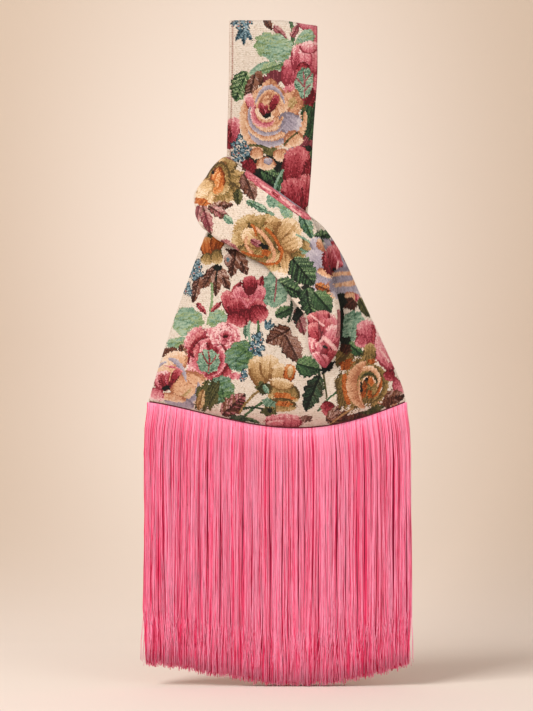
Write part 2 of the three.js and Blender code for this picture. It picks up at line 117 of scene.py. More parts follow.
class Cloth:
    """The stitches of one sheet: where each lies on the chart in millimetres, and its thread's colour."""

    def __init__(self, x, y):
        self.x = x
        self.y = y
        rib = 0.5 + 0.5 * np.sin(y * 3.1 + 0.5 * np.sin(x * 0.3))
        pick = 1.1 + 1.3 * rib + chance.random(len(x)) * 1.5 - 1.9 * (chance.random(len(x)) < 0.09)
        self.colour = ivory[np.clip(pick, 0, 3).astype(int)].copy()

    def near(self, x, y, reach):
        return np.nonzero((np.abs(self.x - x) < reach) & (np.abs(self.y - y) < reach))[0]

    def stitch(self, spots, spool, tone):
        """Works the spots in the spool's threads, tone 0 dark to 1 pale, mixed where two tones meet."""
        mixed = np.clip(tone, 0, 1) * 4.4 + (chance.random(len(spots)) - 0.5) * 1.1
        mixed -= 1.1 * (chance.random(len(spots)) < 0.06)
        self.colour[spots] = spools[spool][np.clip(mixed, 0, 4).astype(int)]

    def local(self, x, y, wide, tall, turn, reach):
        """The stitches round a motif's middle, and how far across and down it each is, 1 at its edge."""
        spots = self.near(x, y, max(wide, tall) * reach)
        angle = math.radians(turn)
        across = self.x[spots] - x
        down = self.y[spots] - y
        u = (across * math.cos(angle) + down * math.sin(angle)) / (wide / 2)
        v = (-across * math.sin(angle) + down * math.cos(angle)) / (tall / 2)
        return spots, u, v

    def hatch(self, place, seed):
        """The uneven step from row to row that shading in a jacquard has."""
        return hatches[(np.floor(place / HATCH_ROW).astype(int) + int(seed)) % len(hatches)] - 0.5

    def leaf(self, x, y, wide, tall, turn, spool, second=None, teeth=5):
        """A pointed leaf along its own u: toothed edge, middle vein, slanting side veins, one half lit."""
        spots, u, v = self.local(x, y, wide, tall, turn, 0.75)
        along = np.clip((u + 1) / 2, 0, 1)
        swell = np.sin(np.pi * along ** 0.8) ** 0.7 * (1 + 0.1 * np.sin(along * teeth * 2 * np.pi))
        swell = swell + (chance.random(len(u)) - 0.5) * 0.12
        hit = (np.abs(u) < 1) & (np.abs(v) < swell)
        spots, u, v, swell = spots[hit], u[hit], v[hit], swell[hit]
        slant = u * wide / 2 - np.abs(v) * tall * 0.45
        vein = np.sin(slant * 2 * np.pi / max(wide / (teeth + 1), 3.2))
        tone = 0.5 - 0.15 * np.sign(v) + 0.05 * vein + 0.32 * self.hatch(slant, x) - 0.14 * u
        tone += 0.26 * (chance.random(len(u)) - 0.5)
        tone -= 0.4 * (np.abs(v) > swell * 0.84) * (v > 0)
        tone = np.where(np.abs(v) < min(1.1 / tall * 2, 0.16), 0.05, tone)
        self.stitch(spots, spool, tone)
        if second:
            streak = (self.hatch(slant + 40 * np.sign(v), y) > 0.12) & (chance.random(len(u)) < 0.8)
            self.stitch(spots[streak], second, tone[streak] + 0.16)

    def broad(self, x, y, wide, tall, turn, spool, second):
        """A broad, blunt leaf of two threads in short streaks across it, as the pale leaves have."""
        spots, u, v = self.local(x, y, wide, tall, turn, 0.7)
        angle = np.arctan2(v, u)
        edge = 1 + 0.05 * np.sin(angle * 9 + x) + 0.1 * np.cos(angle) + (chance.random(len(u)) - 0.5) * 0.08
        hit = (np.abs(u) ** 2.3 + np.abs(v) ** 2.3) ** (1 / 2.3) < edge
        spots, u, v = spots[hit], u[hit], v[hit]
        row = np.floor(self.y[spots] / STREAK_ROW + 0.12 * self.x[spots]).astype(int)
        run = np.floor(self.x[spots] / STREAK_RUN + row * 0.37).astype(int)
        streak = hatches[(row * 7 + run * 31) % len(hatches)]
        other = hatches[(row * 13 + run * 17 + 5) % len(hatches)]
        tone = 0.32 + 0.4 * streak - 0.1 * v - 0.22 * (np.abs(v) < 1.2 / tall)
        second_here = other + 0.35 * np.sin(u * 2.2 + 0.6) > 0.62
        self.stitch(spots, spool, tone)
        self.stitch(spots[second_here], second, tone[second_here] + 0.05)

    def fan(self, x, y, reach, tall, turn, spool, count=3, spread=38, second=None):
        """A spray of narrow leaves from one point."""
        for number in range(count):
            off = number - (count - 1) / 2
            angle = math.radians(turn + spread * off)
            length = reach * (1 - 0.12 * abs(off))
            self.leaf(x + math.cos(angle) * length / 2, y + math.sin(angle) * length / 2,
                      length, tall, turn + spread * off, spool, second, 4)

    def petal(self, x, y, wide, tall, turn, spool, low=0.1, high=0.85):
        """One petal: dark at its base, v of -1, and paler up to its lip, v of +1, in uneven rays."""
        spots, u, v = self.local(x, y, wide, tall, turn, 0.6)
        radius = np.hypot(u * (1 - 0.18 * v), v) + (chance.random(len(u)) - 0.5) * 0.12
        hit = radius < 1
        spots, u, v, radius = spots[hit], u[hit], v[hit], radius[hit]
        rise = (v + 1) / 2 + 0.45 * self.hatch(u * wide / 2, x * 3 + y)
        tone = low + (high - low) * np.clip(rise, 0, 1) ** 0.9
        tone -= 0.42 * (radius > 0.8) * (v < 0.35)
        tone += 0.16 * ((radius > 0.66) & (v > 0.3))
        self.stitch(spots, spool, tone)

    def arc(self, x, y, wide, tall, start, end, thick, spool, low=0.2, high=0.85):
        """A curled lip of a petal round x, y, from one angle to another, 0 right and 90 down."""
        spots = self.near(x, y, max(wide, tall) / 2 + thick)
        across, down = self.x[spots] - x, self.y[spots] - y
        far = np.hypot(across / (wide / 2), down / (tall / 2))
        size = math.sqrt(wide * tall) / 2
        along = (np.degrees(np.arctan2(down / tall, across / wide)) - start) % 360 / (end - start)
        swell = np.sin(np.pi * np.clip(along, 0, 1)) ** 0.45
        half = thick / 2 * swell * (0.85 + 0.3 * chance.random(len(far)))
        hit = (along < 1) & (np.abs(far - 1) * size < half)
        ray = self.hatch(along[hit] * (end - start) * 0.4, x + y)
        rise = ((far[hit] - 1) * size / half[hit] + 1) / 2 + 0.4 * ray
        self.stitch(spots[hit], spool, low + (high - low) * np.clip(rise, 0, 1))

    def heart(self, x, y, wide, tall, turn, spool):
        """A flower's heart: flecks of its heart thread rising out of a dark eye."""
        spots, u, v = self.local(x, y, wide, tall, turn, 0.6)
        reach = 0.75 + 0.7 * self.hatch(u * wide / 2, x + y)
        hit = np.hypot(u, v) < reach
        self.stitch(spots[hit], spool, 0.22 - 0.35 * v[hit])
        eye = np.hypot(u * 1.6, (v - 0.3) * 2.2) < 0.8
        self.colour[spots[eye]] = spools[spool][5]

    def rose(self, x, y, wide, tall, turn, spool, second=None, heart="crimson", petals=5, shade=0.0):
        """Three rings of overlapping petals round a heart, the outer ones first."""
        rings = ((petals, 0.62, 0.95, 0.62, 0.0), (petals, 0.38, 0.74, 0.5, 0.5), (4, 0.2, 0.52, 0.4, 0.2))
        frame_turn = math.radians(turn)
        size = math.sqrt(wide * tall)
        for order, (count, away, petal_wide, petal_tall, offset) in enumerate(rings):
            for number in range(count):
                angle = 2 * math.pi * (number + offset + 0.37 * (x % 3)) / count
                u = away * math.cos(angle) * wide / 2
                v = (away * math.sin(angle) - 0.07 * order) * tall / 2
                side = u * math.cos(frame_turn) - v * math.sin(frame_turn)
                drop = u * math.sin(frame_turn) + v * math.cos(frame_turn)
                outward = math.degrees(math.atan2(drop, side)) - 90
                lit = 0.08 * -(math.cos(angle) + 1.2 * math.sin(angle)) / 1.6 - shade
                thread = second if second and (number + order) % 2 else spool
                self.petal(x + side, y + drop, size * petal_wide * 0.62, size * petal_tall * 0.72, outward,
                           thread, 0.08 + lit, 0.84 + lit)
        self.heart(x, y - 0.05 * tall, wide * 0.24, tall * 0.26, 0, heart)

    def blossoms(self, x, y, wide, tall, count, spool="blue"):
        """Tiny flowers thick on their dark leaves, a few of them with an orange middle."""
        for layer in ("leaves", "flowers"):
            for number in range(count):
                angle = number * BLOSSOM_TURN
                away = math.sqrt((number + 0.5) / count)
                flower_x = x + away * wide / 2 * math.cos(angle)
                flower_y = y + away * tall / 2 * math.sin(angle)
                spots = self.near(flower_x, flower_y, 4)
                far = np.hypot(self.x[spots] - flower_x, self.y[spots] - flower_y)
                if layer == "leaves":
                    leaf = spots[(far < 3.4) & (chance.random(len(spots)) < 0.6)]
                    self.stitch(leaf, spool, 0.05 + 0.3 * chance.random(len(leaf)))
                    continue
                flower = spots[far < FLOWER_SIZE]
                self.stitch(flower, spool, 0.45 + 0.5 * chance.random(len(flower)))
                if number % 4 == 1:
                    self.colour[spots[far < 0.8]] = spools[spool][5]

    def stem(self, x, y, end_x, end_y, bend, wide, spool):
        """A stem or vein from one place to another, bowed to its side by bend."""
        reach = math.hypot(end_x - x, end_y - y)
        spots = self.near((x + end_x) / 2, (y + end_y) / 2, reach * 0.6 + abs(bend) + wide)
        side = ((end_y - y) / reach, -(end_x - x) / reach)
        best = np.full(len(spots), 1e6)
        steps = max(int(reach), 2)
        for step in range(steps + 1):
            share = step / steps
            bow = bend * 4 * share * (1 - share)
            spot_x = x + (end_x - x) * share + side[0] * bow
            spot_y = y + (end_y - y) * share + side[1] * bow
            best = np.minimum(best, np.hypot(self.x[spots] - spot_x, self.y[spots] - spot_y))
        hit = best < wide / 2 + 0.3
        tone = 0.6 - 0.4 * np.minimum(best[hit] / wide, 0.6) + 0.3 * (chance.random(hit.sum()) - 0.5)
        self.stitch(spots[hit], spool, tone)

    def patch(self, x, y, wide, tall, turn, spool, tone=0.4):
        """A ragged area of one thread in mixed tones."""
        spots, u, v = self.local(x, y, wide, tall, turn, 0.7)
        rough = 1 + 0.14 * np.sin(np.arctan2(v, u) * 5 + x) + (chance.random(len(u)) - 0.5) * 0.25
        hit = np.hypot(u, v) < rough
        streak = 0.45 * self.hatch(u[hit] * wide / 2 + 0.2 * v[hit] * tall, y)
        self.stitch(spots[hit], spool, tone + streak)


def chart_rows(chart):
    """A chart's motifs and what each takes: numbers, names of threads, or none for no second thread."""
    for line in chart.strip().splitlines():
        motif, *words = line.split()
        if motif == "#":
            continue
        row = []
        for word in words:
            if word[-1].isdigit():
                row.append(float(word) if "." in word else int(word))
            else:
                row.append(None if word == "none" else word)
        yield motif, row


# The front's motifs in the order that they are worked, later ones over earlier ones. A row names a
# motif and gives what it takes, as listed at its function in Cloth: for most of them x, y, width,
# height, turn in degrees and thread. Lines with # only say what the rows below them make.
# green, rose and brown leaves under the pleat, and a near-black patch of painted shade in the recess beside
# it
# painted shadow under the pleat's tip and painted shade in the fold right of it, then a dark brown gap in
# the right corner
POUCH_CHART = """
# a rust bud over brown leaves, top left
patch 212 247 22 28 10 olive_leaf 0.3
petal 207 248 13 22 170 rust 0.1 0.8
petal 217 244 14 18 200 rust 0.0 0.7
petal 207 259 12 12 20 olive_gold 0.2 0.8
petal 217 257 13 15 -10 olive_gold 0.1 0.8
patch 236 254 20 8 20 brown 0.15
fan 236 252 28 13 82 brown 2 36 mauve_brown
fan 217 266 31 12 92 brown 3 30 mauve_brown
petal 228 261 8 13 180 mauve_brown 0.5 0.95
patch 228 260 3 5 0 blue 0.5
patch 218 268 9 6 0 night 0.3
stem 218 268 216 280 0 1.6 night
leaf 197 288 32 10 104 brown mauve_brown
# blue sprigs down the left side
blossoms 196 271 12 20 11
blossoms 188 289 8 12 4
# a pale leaf and the crimson rose
broad 275 288 36 29 108 pale_teal teal
stem 276 272 274 302 1 1 rose_brown
leaf 236 292 25 9 -64 crimson none 2
leaf 260 285 20 8 -72 crimson none 2
petal 229 304 13 26 165 crimson 0.25 0.8
petal 243 300 18 28 158 pink 0.0 0.65
petal 256 299 16 28 200 pink 0.0 0.6
petal 250 286 15 20 182 crimson -0.1 0.6
patch 249 291 5 7 0 crimson -0.2
petal 240 308 24 19 172 crimson 0.0 0.7
petal 255 308 22 19 196 crimson 0.05 0.75
petal 246 316 18 13 4 crimson 0.0 0.55
stem 237 295 247 307 1 2.4 pink
stem 260 291 249 305 1 2.6 pink
petal 237 320 23 15 15 crimson 0.2 0.8
petal 258 314 20 19 -35 crimson 0.1 0.8
# a bud's stem and sage leaves, left
stem 212 284 208 324 2 2 sage
leaf 202 309 15 6 50 crimson none 2
leaf 217 307 16 5 -45 crimson none 2
broad 190 323 30 29 200 sage pale_teal
broad 217 320 20 17 -40 sage pale_teal
broad 179 343 27 11 -5 pale_teal sage
patch 172 354 24 13 12 brown 0.4
leaf 184 352 16 8 70 brown
stem 250 322 252 346 -2 2 pale_teal
stem 258 322 254 342 2 2 green
leaf 246 332 14 5 90 teal none 2
# the pink rose with a leaf across it
petal 200 372 28 20 60 pink 0.0 0.7
petal 197 340 26 22 130 pink 0.0 0.75
rose 213 354 50 50 0 pink crimson crimson 5 0.1
rose 226 337 30 26 0 pink none crimson 5 -0.08
patch 236 376 14 7 0 pink 0.6
broad 209 360 23 22 90 pale_teal teal
stem 209 352 209 371 1 1 crimson
stem 209 364 203 352 1 0.7 crimson
stem 209 366 217 354 -1 0.7 crimson
arc 209 360 40 46 170 275 4 crimson 0.1 0.5
arc 209 360 30 32 -70 80 4 pink 0.2 0.9
arc 209 360 40 40 -60 70 3 crimson 0.0 0.4
# leaves and blue sprigs beside the pink rose
broad 240 357 32 28 -38 teal green
broad 222 388 27 25 75 teal green
blossoms 257 345 14 24 12
blossoms 244 376 5 9 3
fan 267 330 12 4 -70 blue 3 30
# green, rose and brown leaves under the pleat
leaf 284 312 20 12 -25 green forest
stem 291 302 288 322 1 2 forest
leaf 300 322 28 13 72 rose_brown mauve_brown
patch 298 314 9 20 30 night 0.5
leaf 278 336 28 20 150 brown mauve_brown
leaf 292 349 32 21 62 mauve_brown brown
# the peach and lilac rose in the left corner
petal 176 362 26 22 165 peach 0.4 0.9
petal 166 374 28 28 150 peach 0.4 0.9
petal 188 388 40 36 -45 peach 0.3 0.85
arc 170 388 42 52 185 262 3.5 lilac 0.3 0.9
arc 168 386 38 54 272 350 5 lilac 0.3 0.9
arc 166 384 46 36 268 320 3 pink 0.3 0.9
arc 172 386 54 42 -12 100 5 lilac 0.2 0.8
arc 170 384 44 30 10 100 3 olive_gold 0.7 0.9
petal 180 402 30 12 12 lilac 0.3 0.8
petal 172 397 30 8 8 peach 0.4 0.8
petal 156 394 18 13 15 pink 0.4 0.95
petal 164 381 22 20 170 pink 0.2 0.9
petal 163 381 8 15 166 crimson 0.0 0.6
petal 169 380 7 15 186 crimson 0.1 0.65
petal 175 377 8 19 212 crimson 0.0 0.6
stem 166 373 167 383 0 0.9 pink
stem 172 371 170 381 0 0.9 peach
patch 167 388 9 5 -15 night 0.1
# olive and brown leaves with their stems
patch 204 396 16 30 12 olive_leaf 0.5
leaf 201 400 22 9 105 gold none 2
patch 213 394 13 30 10 olive_leaf 0.4
leaf 234 404 32 19 -42 brown rose_brown
stem 240 412 262 388 2 2 olive_gold
stem 246 414 270 398 1 2 green
stem 244 408 270 412 3 2 forest
# the two gold flowers in the middle
petal 259 372 20 32 170 gold 0.0 0.8
petal 269 368 20 26 185 gold 0.1 0.95
petal 278 374 16 22 200 gold 0.2 0.9
petal 289 374 12 20 190 rust 0.3 0.7
petal 290 372 6 12 190 gold 0.4 0.8
patch 264 388 16 12 20 olive_leaf 0.35
petal 284 392 32 22 10 olive_gold 0.2 0.8
petal 281 384 24 12 190 gold 0.4 0.95
patch 284 396 22 7 10 rust 0.6
petal 280 404 32 14 0 olive_gold 0.1 0.7
patch 284 403 16 5 5 rust 0.5
patch 269 402 14 8 20 teal 0.5
leaf 266 389 10 5 60 pale_teal none 2
patch 269 411 16 9 0 olive_leaf 0.4
patch 270 410 5 4 0 night 0.2
# a pink flower and leaves at the hem
petal 284 422 38 18 180 pink 0.1 0.7
petal 275 424 20 10 170 pink 0.3 0.8
patch 240 418 22 8 8 forest 0.6
patch 306 418 12 7 0 mauve_brown 0.4
leaf 253 420 18 5 20 green
# green leaves and a bud below the pleat
leaf 308 367 25 21 15 green forest
stem 318 372 314 396 2 2 forest
leaf 312 393 38 19 112 forest night
stem 322 372 326 398 1 1.5 olive_leaf
stem 318 410 336 392 1 1.5 green
petal 328 408 17 14 60 crimson 0.1 0.6
fan 326 418 26 8 -5 brown 4 24 mauve_brown
# the lilac and crimson flower on the right shoulder
leaf 324 236 20 12 -20 forest green
patch 331 246 18 12 40 lilac 0.45
patch 333 243 6 5 40 crimson 0.3
petal 340 256 24 34 -130 pink 0.1 0.7
petal 342 262 22 44 -100 lilac 0.2 0.7
petal 333 262 22 34 190 crimson 0.1 0.8
stem 333 250 342 264 -2 2.2 pink
stem 341 252 347 270 -1 1.8 lilac
stem 338 262 336 272 0 1.6 ivory_pink
patch 334 270 5 4 0 night 0.1
patch 348 271 9 4 20 peach 0.5
petal 346 284 38 34 -10 lilac 0.1 0.75
patch 342 274 34 4 -4 peach 0.5
patch 347 284 32 5 -8 peach 0.55
petal 350 298 20 12 0 peach 0.3 0.8
# leaves and shade in the fold beside the pleat
patch 349 304 17 12 20 brown 0.2
patch 357 299 5 10 -20 pink 0.5
leaf 364 308 22 11 62 olive_leaf
patch 340 322 11 54 -3 forest 0.1
patch 340 301 13 16 0 night 0.45
broad 353 325 31 22 100 teal pale_teal
patch 346 344 11 14 0 night 0.5
leaf 355 350 20 13 40 green
# pink flowers at the right side
petal 382 350 22 48 155 pink 0.3 1.0
petal 366 334 20 28 175 pink 0.1 0.7
petal 361 341 13 14 10 pink 0.2 0.6
stem 377 348 388 362 1 1.6 ivory_pink
stem 372 326 372 346 1 3 crimson
# the olive, rust and peach rose, right
petal 369 355 13 24 182 olive_gold 0.1 0.6
patch 371 362 9 6 -10 rust 0.4
patch 343 358 19 20 20 olive_gold 0.22
patch 347 365 17 11 -12 rust 0.3
patch 341 391 12 36 -8 olive_gold 0.3
patch 362 384 42 50 0 olive_gold 0.35
stem 344 376 348 402 -2 4 rust
arc 364 384 42 40 -80 70 6 olive_gold 0.1 0.6
arc 363 383 34 34 -70 60 3.5 rust 0.2 0.6
arc 367 380 22 24 190 395 5 peach 0.3 0.95
arc 368 382 17 17 190 380 2.5 olive_leaf 0.1 0.5
arc 368 384 13 14 185 360 2 peach 0.5 1.0
patch 363 390 6 18 8 rust 0.35
patch 370 381 6 10 -15 rust 0.45
patch 369 394 5 8 0 rust 0.4
patch 374 389 5 10 10 olive_gold 0.6
stem 360 383 361 391 0 2 night
patch 366 379 5 3 -35 night 0.1
arc 376 385 50 50 117 246 11 peach 0.05 0.6
stem 359 381 362 404 -2 1.4 peach
# buds and brown leaves in the right corner
petal 389 375 12 12 30 crimson 0.1 0.5
petal 398 388 12 22 -20 pink 0.3 0.8
leaf 394 397 22 16 -10 brown mauve_brown
patch 372 410 30 7 -20 olive_leaf 0.35
patch 352 417 26 8 -12 brown 0.35
stem 330 424 352 408 1 1.5 gold
stem 378 402 396 404 -2 1.5 peach
# the darkest gaps between motifs
patch 327 367 17 8 -42 night 0.2
patch 345 349 12 10 0 brown 0.15
patch 340 318 5 40 -4 night 0.5
patch 388 402 14 10 -20 brown 0.4
"""

CLOTH = 2.0
HANDLE = 3.0
SEAM = 1.5
LEFT_BULGE, RIGHT_BULGE, BOTTOM_BOW = 2.4, 11, 26
HAND_WIDTH, HANDLE_SHEET = 87.0, HANDLE - 0.6
KNOT_DROP = 132.0
BAND_DROP = 215.0
POUCH_WIDTH = 257.0
POUCH_HEIGHT = 168.0
POUCH_SHIFT = 3.6
# the share to which all the pouch's thread colours are scaled
POUCH_DARKER = 0.88
HALF_DEPTH = 22.0
LEFT_CORNER = POUCH_SHIFT - POUCH_WIDTH / 2
RIGHT_CORNER = POUCH_SHIFT + POUCH_WIDTH / 2

RIM = (
    # share of the rim, sideways in handle widths, down in band drops
    (0, -0.775, 0.363), (0.1, -0.68, 0.347), (0.25, -0.44, 0.4), (0.4, -0.19, 0.463), (0.55, 0.06, 0.549),
    (0.68, 0.29, 0.63), (0.78, 0.455, 0.62), (0.87, 0.53, 0.525), (0.94, 0.51, 0.405), (1, 0.436, 0.288),
)
RIGHT_SEAM = ((0, 0), (0.06, 0.65), (0.2, 1), (0.4, 0.85), (0.6, 0.7), (0.78, 0.55), (0.92, 0.36), (1, 0))
FULLNESS = ((-0.2, 0.2), (0, 0.27), (0.2, 0.45), (0.45, 0.77), (0.72, 1), (0.88, 0.82), (0.96, 0.45), (1, 0))
DENTS = (
    # sideways and down from the left shoulder in shares of the pouch, reach, depth in millimetres
    (0.07, 0.62, 0.05, 0.1, 6), (0.19, 0.98, 0.022, 0.16, 4), (-0.12, 0.3, 0.16, 0.09, 1.6),
    (0.32, 0.55, 0.03, 0.3, 2), (-0.24, 0.8, 0.05, 0.2, 2), (0.25, 0.52, 0.035, 0.22, 9),
    (0.085, 0.47, 0.035, 0.08, 8),
)


def read(rows, place):
    """A table of two columns read smoothly between its rows, as the solid's walls are."""
    keys, values = np.array(rows).T
    place = np.clip(place, keys[0], keys[-1])
    row = np.clip(np.searchsorted(keys, place, side="left") - 1, 0, len(keys) - 2)
    before = np.maximum(np.arange(len(keys)) - 1, 0)
    after = np.minimum(np.arange(len(keys)) + 1, len(keys) - 1)
    slope = (values[after] - values[before]) / (keys[after] - keys[before])
    span = keys[row + 1] - keys[row]
    share = (place - keys[row]) / span
    rise = values[row + 1] - values[row]
    bend = (1 - share) * (slope[row] * span - rise) - share * (slope[row + 1] * span - rise)
    return values[row] + share * rise + share * (1 - share) * bend


def rim(share):
    side = read([(row[0], row[1]) for row in RIM], share)
    down = read([(row[0], row[2]) for row in RIM], share)
    return HAND_WIDTH * side, -KNOT_DROP - BAND_DROP * down


shoulder_x, shoulder_z = (float(value) for value in rim(0))
apex_x, apex_z = (float(value) for value in rim(1))
CORNER_LEVEL = shoulder_z - POUCH_HEIGHT


def left_seam(share):
    return (mix(shoulder_x, LEFT_CORNER, share) - LEFT_BULGE * np.sin(np.pi * share),
            mix(shoulder_z, CORNER_LEVEL, share))


def right_seam(share):
    return (mix(apex_x, RIGHT_CORNER, share) + RIGHT_BULGE * read(RIGHT_SEAM, share),
            mix(apex_z, CORNER_LEVEL, share))


def bottom_level(x):
    share = np.clip((x - LEFT_CORNER) / POUCH_WIDTH, 0, 1)
    return CORNER_LEVEL - BOTTOM_BOW * np.sin(np.pi * share ** 1.25)


def pouch_half(x, z):
    """Half the pouch's inside depth at a place on its front view."""
    left = left_seam(np.minimum((shoulder_z - z) / (shoulder_z - CORNER_LEVEL), 1))[0] + SEAM
    right = right_seam(np.clip((apex_z - z) / (apex_z - CORNER_LEVEL), 0, 1))[0] - SEAM
    across = np.clip((x - left) / (right - left), 0, 1)
    down = (shoulder_z - z) / (shoulder_z - bottom_level(x) - SEAM)
    swell = HALF_DEPTH * np.sin(np.pi * across) ** 0.8 * read(FULLNESS, down)
    dents = 0
    for side, drop, wide, tall, deep in DENTS:
        sideways = (x - POUCH_SHIFT - side * POUCH_WIDTH) / (wide * POUCH_WIDTH)
        downwards = (shoulder_z - drop * POUCH_HEIGHT - z) / (tall * POUCH_HEIGHT)
        dents = dents + deep * np.exp(-sideways ** 2 - downwards ** 2)
    return swell * (1 - np.minimum(dents / HALF_DEPTH, 0.6))


def pouch_wall(side):
    """Where a panel's points lie between its seams and the rim, side -1 in front and 1 behind."""
    def place(u, v):
        v = 1 - v
        top = rim(u)
        low_x = mix(LEFT_CORNER, RIGHT_CORNER, u)
        low = (low_x, bottom_level(low_x))
        left, right = left_seam(v), right_seam(v)
        high_left, high_right, low_left, low_right = left_seam(0), right_seam(0), left_seam(1), right_seam(1)
        x, z = [
            (1 - v) * top[i] + v * low[i] + (1 - u) * left[i] + u * right[i]
            - (1 - u) * (1 - v) * high_left[i] - u * (1 - v) * high_right[i]
            - (1 - u) * v * low_left[i] - u * v * low_right[i]
            for i in (0, 1)
        ]
        gather = 0.7 * np.sin(x * 0.83 + 2 * np.sin(x * 0.11)) * np.exp(-(z - low[1]) / 7)
        ease_in = ease(0, 3, pouch_half(x, z))
        soft = 0.5 * np.sin(x * 0.09 + z * 0.05) * np.sin(z * 0.13 - x * 0.02)
        return np.stack([x, side * (pouch_half(x, z) + CLOTH / 2 + (gather + soft) * ease_in), z], 1)
    return place


def new_object(name, data):
    """An object at the origin, in the scene's collection."""
    made = bpy.data.objects.new(name, data)
    bpy.context.collection.objects.link(made)
    return made


def new_material(name, roughness, specular):
    """A material with its node tree and its shader."""
    material = bpy.data.materials.new(name)
    material.use_nodes = True
    shader = material.node_tree.nodes["Principled BSDF"]
    shader.inputs["Roughness"].default_value = roughness
    shader.inputs["Specular IOR Level"].default_value = specular
    return material, material.node_tree, shader


def add_node(tree, kind, settings=None, **values):
    """A shader node with its settings, and the constants of its sockets, named with _ for a space."""
    node = tree.nodes.new("ShaderNode" + kind)
    for setting, value in (settings or {}).items():
        setattr(node, setting, value)
    for socket, value in values.items():
        node.inputs[socket.replace("_", " ")].default_value = value
    return node


def colour_ramp(tree, first, last, *between):
    """A ramp from the first place and colour to the last, through those between."""
    node = tree.nodes.new("ShaderNodeValToRGB")
    elements = node.color_ramp.elements
    for element, (place, colour) in ((elements[0], first), (elements[1], last)):
        element.position = place
        element.color = (*linear(colour), 1)
    for place, colour in between:
        elements.new(place).color = (*linear(colour), 1)
    return node


def join(tree, *steps):
    """Links nodes, each step a source, its output, a target and its socket."""
    for source, output, target, socket in steps:
        tree.links.new(source.outputs[output], target.inputs[socket])


def tapestry_material():
    """Woven cloth: the stitch's thread colour, a fine rib across it and a dull, slightly fuzzy face."""
    material, tree, shader = new_material("rose_tapestry", 0.85, 0.2)
    shader.inputs["Sheen Weight"].default_value = 0.06
    shader.inputs["Sheen Roughness"].default_value = 0.5
    thread = add_node(tree, "VertexColor", {"layer_name": "thread"})
    weave = add_node(tree, "UVMap", {"uv_map": "weave"})
    rib = add_node(tree, "TexWave", {"bands_direction": "Y"},
                   Scale=0.36, Distortion=1.4, Detail=1.0, Detail_Scale=0.6)
    warp = add_node(tree, "TexWave", {"bands_direction": "DIAGONAL"}, Scale=0.5, Distortion=0.8)
    fluff = add_node(tree, "TexNoise", Scale=0.9, Detail=3.0)
    both = add_node(tree, "Math", {"operation": "ADD"})
    height = add_node(tree, "Math", {"operation": "ADD"})
    relief = add_node(tree, "Bump", Strength=0.6, Distance=0.0006)
    dim = add_node(tree, "MapRange", To_Min=0.84, To_Max=1.08)
    shade = add_node(tree, "Mix", {"data_type": "RGBA", "blend_type": "MULTIPLY"}, Factor=1.0)
    join(tree, *((weave, "UV", texture, "Vector") for texture in (rib, warp, fluff)))
    join(tree, (rib, "Fac", both, 0), (warp, "Fac", both, 1), (both, "Value", height, 0),
         (fluff, "Fac", height, 1), (height, "Value", relief, "Height"),
         (relief, "Normal", shader, "Normal"), (rib, "Fac", dim, "Value"),
         (thread, "Color", shade, "A"), (dim, "Result", shade, "B"),
         (shade, "Result", shader, "Base Color"))
    return material


tapestry = tapestry_material()


def laid_grid(name, columns, rows, place):
    """A mesh grid laid out by place(u, v) in millimetres, with its points' u and v and where they lie."""
    grid = bmesh.new()
    bmesh.ops.create_grid(grid, x_segments=columns, y_segments=rows, size=1)
    mesh = bpy.data.meshes.new(name)
    grid.to_mesh(mesh)
    grid.free()
    flat = np.empty(len(mesh.vertices) * 3)
    mesh.vertices.foreach_get("co", flat)
    u, v = flat[0::3] / 2 + 0.5, flat[1::3] / 2 + 0.5
    where = place(u, v)
    mesh.vertices.foreach_set("co", (where * MM).ravel())
    return mesh, u, v, where


def thicken(sheet, name, thickness):
    """Gives a sheet its thickness in millimetres, half of it to each side."""
    skin = sheet.modifiers.new(name, "SOLIDIFY")
    skin.thickness = thickness * MM
    skin.offset = 0
    return skin


def woven_sheet(name, columns, rows, size, place, chart, thickness, behind, wall, seam=None):
    """A sheet laid out by place(u, v), each cell one stitch of the chart, wall(u, v) of its thickness.

    behind(v) says which cells are on the bag's back, and seam(u, v) shades the finished cloth.
    """
    mesh, u, v, where = laid_grid(name, columns, rows, place)
    corners = np.empty(len(mesh.loops), int)
    mesh.loops.foreach_get("vertex_index", corners)
    layer = mesh.uv_layers.new(name="weave")
    layer.data.foreach_set("uv", np.stack([u[corners] * size[0], v[corners] * size[1]], 1).ravel())
    cells = corners.reshape(-1, 4)
    centre = where[cells].mean(1)
    x = centre[:, 0] - CHART_LEFT
    x = np.where(behind(v[cells].mean(1)), 2 * BAG_MIDDLE - x, x)
    cloth = Cloth(x, CHART_TOP - centre[:, 2])
    for motif, row in chart_rows(chart):
        getattr(cloth, motif)(*row)
    colour = mesh.color_attributes.new("thread", "FLOAT_COLOR", "CORNER")
    paint = np.ones((len(cells), 4))
    paint[:, :3] = cloth.colour
    if seam:
        paint[:, :3] *= seam(u[cells].mean(1), v[cells].mean(1))
    colour.data.foreach_set("color", np.repeat(paint, 4, axis=0).ravel())
    mesh.shade_smooth()
    mesh.update()
    mesh.materials.append(tapestry)
    sheet = new_object(name, mesh)
    group = sheet.vertex_groups.new(name="wall")
    shares = np.round(np.clip(wall(u, v), 0.05, 1) * 20) / 20
    for share in np.unique(shares):
        group.add(np.nonzero(shares == share)[0].tolist(), float(share), "REPLACE")
    thicken(sheet, "cloth", thickness).vertex_group = "wall"
    return sheet


def panel_wall(u, v):
    edge = np.minimum(np.minimum(u, 1 - u) * POUCH_WIDTH, v * POUCH_HEIGHT)
    return 0.4 + 0.6 * ease(0, 2.5, edge)


def panel_shade(u, v):
    """All the pouch's thread colours scaled darker, and painted shade darkening them more towards its seams.
    """
    edge = np.minimum(np.minimum(u, 1 - u) * POUCH_WIDTH, v * POUCH_HEIGHT)
    return POUCH_DARKER * (0.93 + 0.07 * ease(0, 26, edge))[:, None]


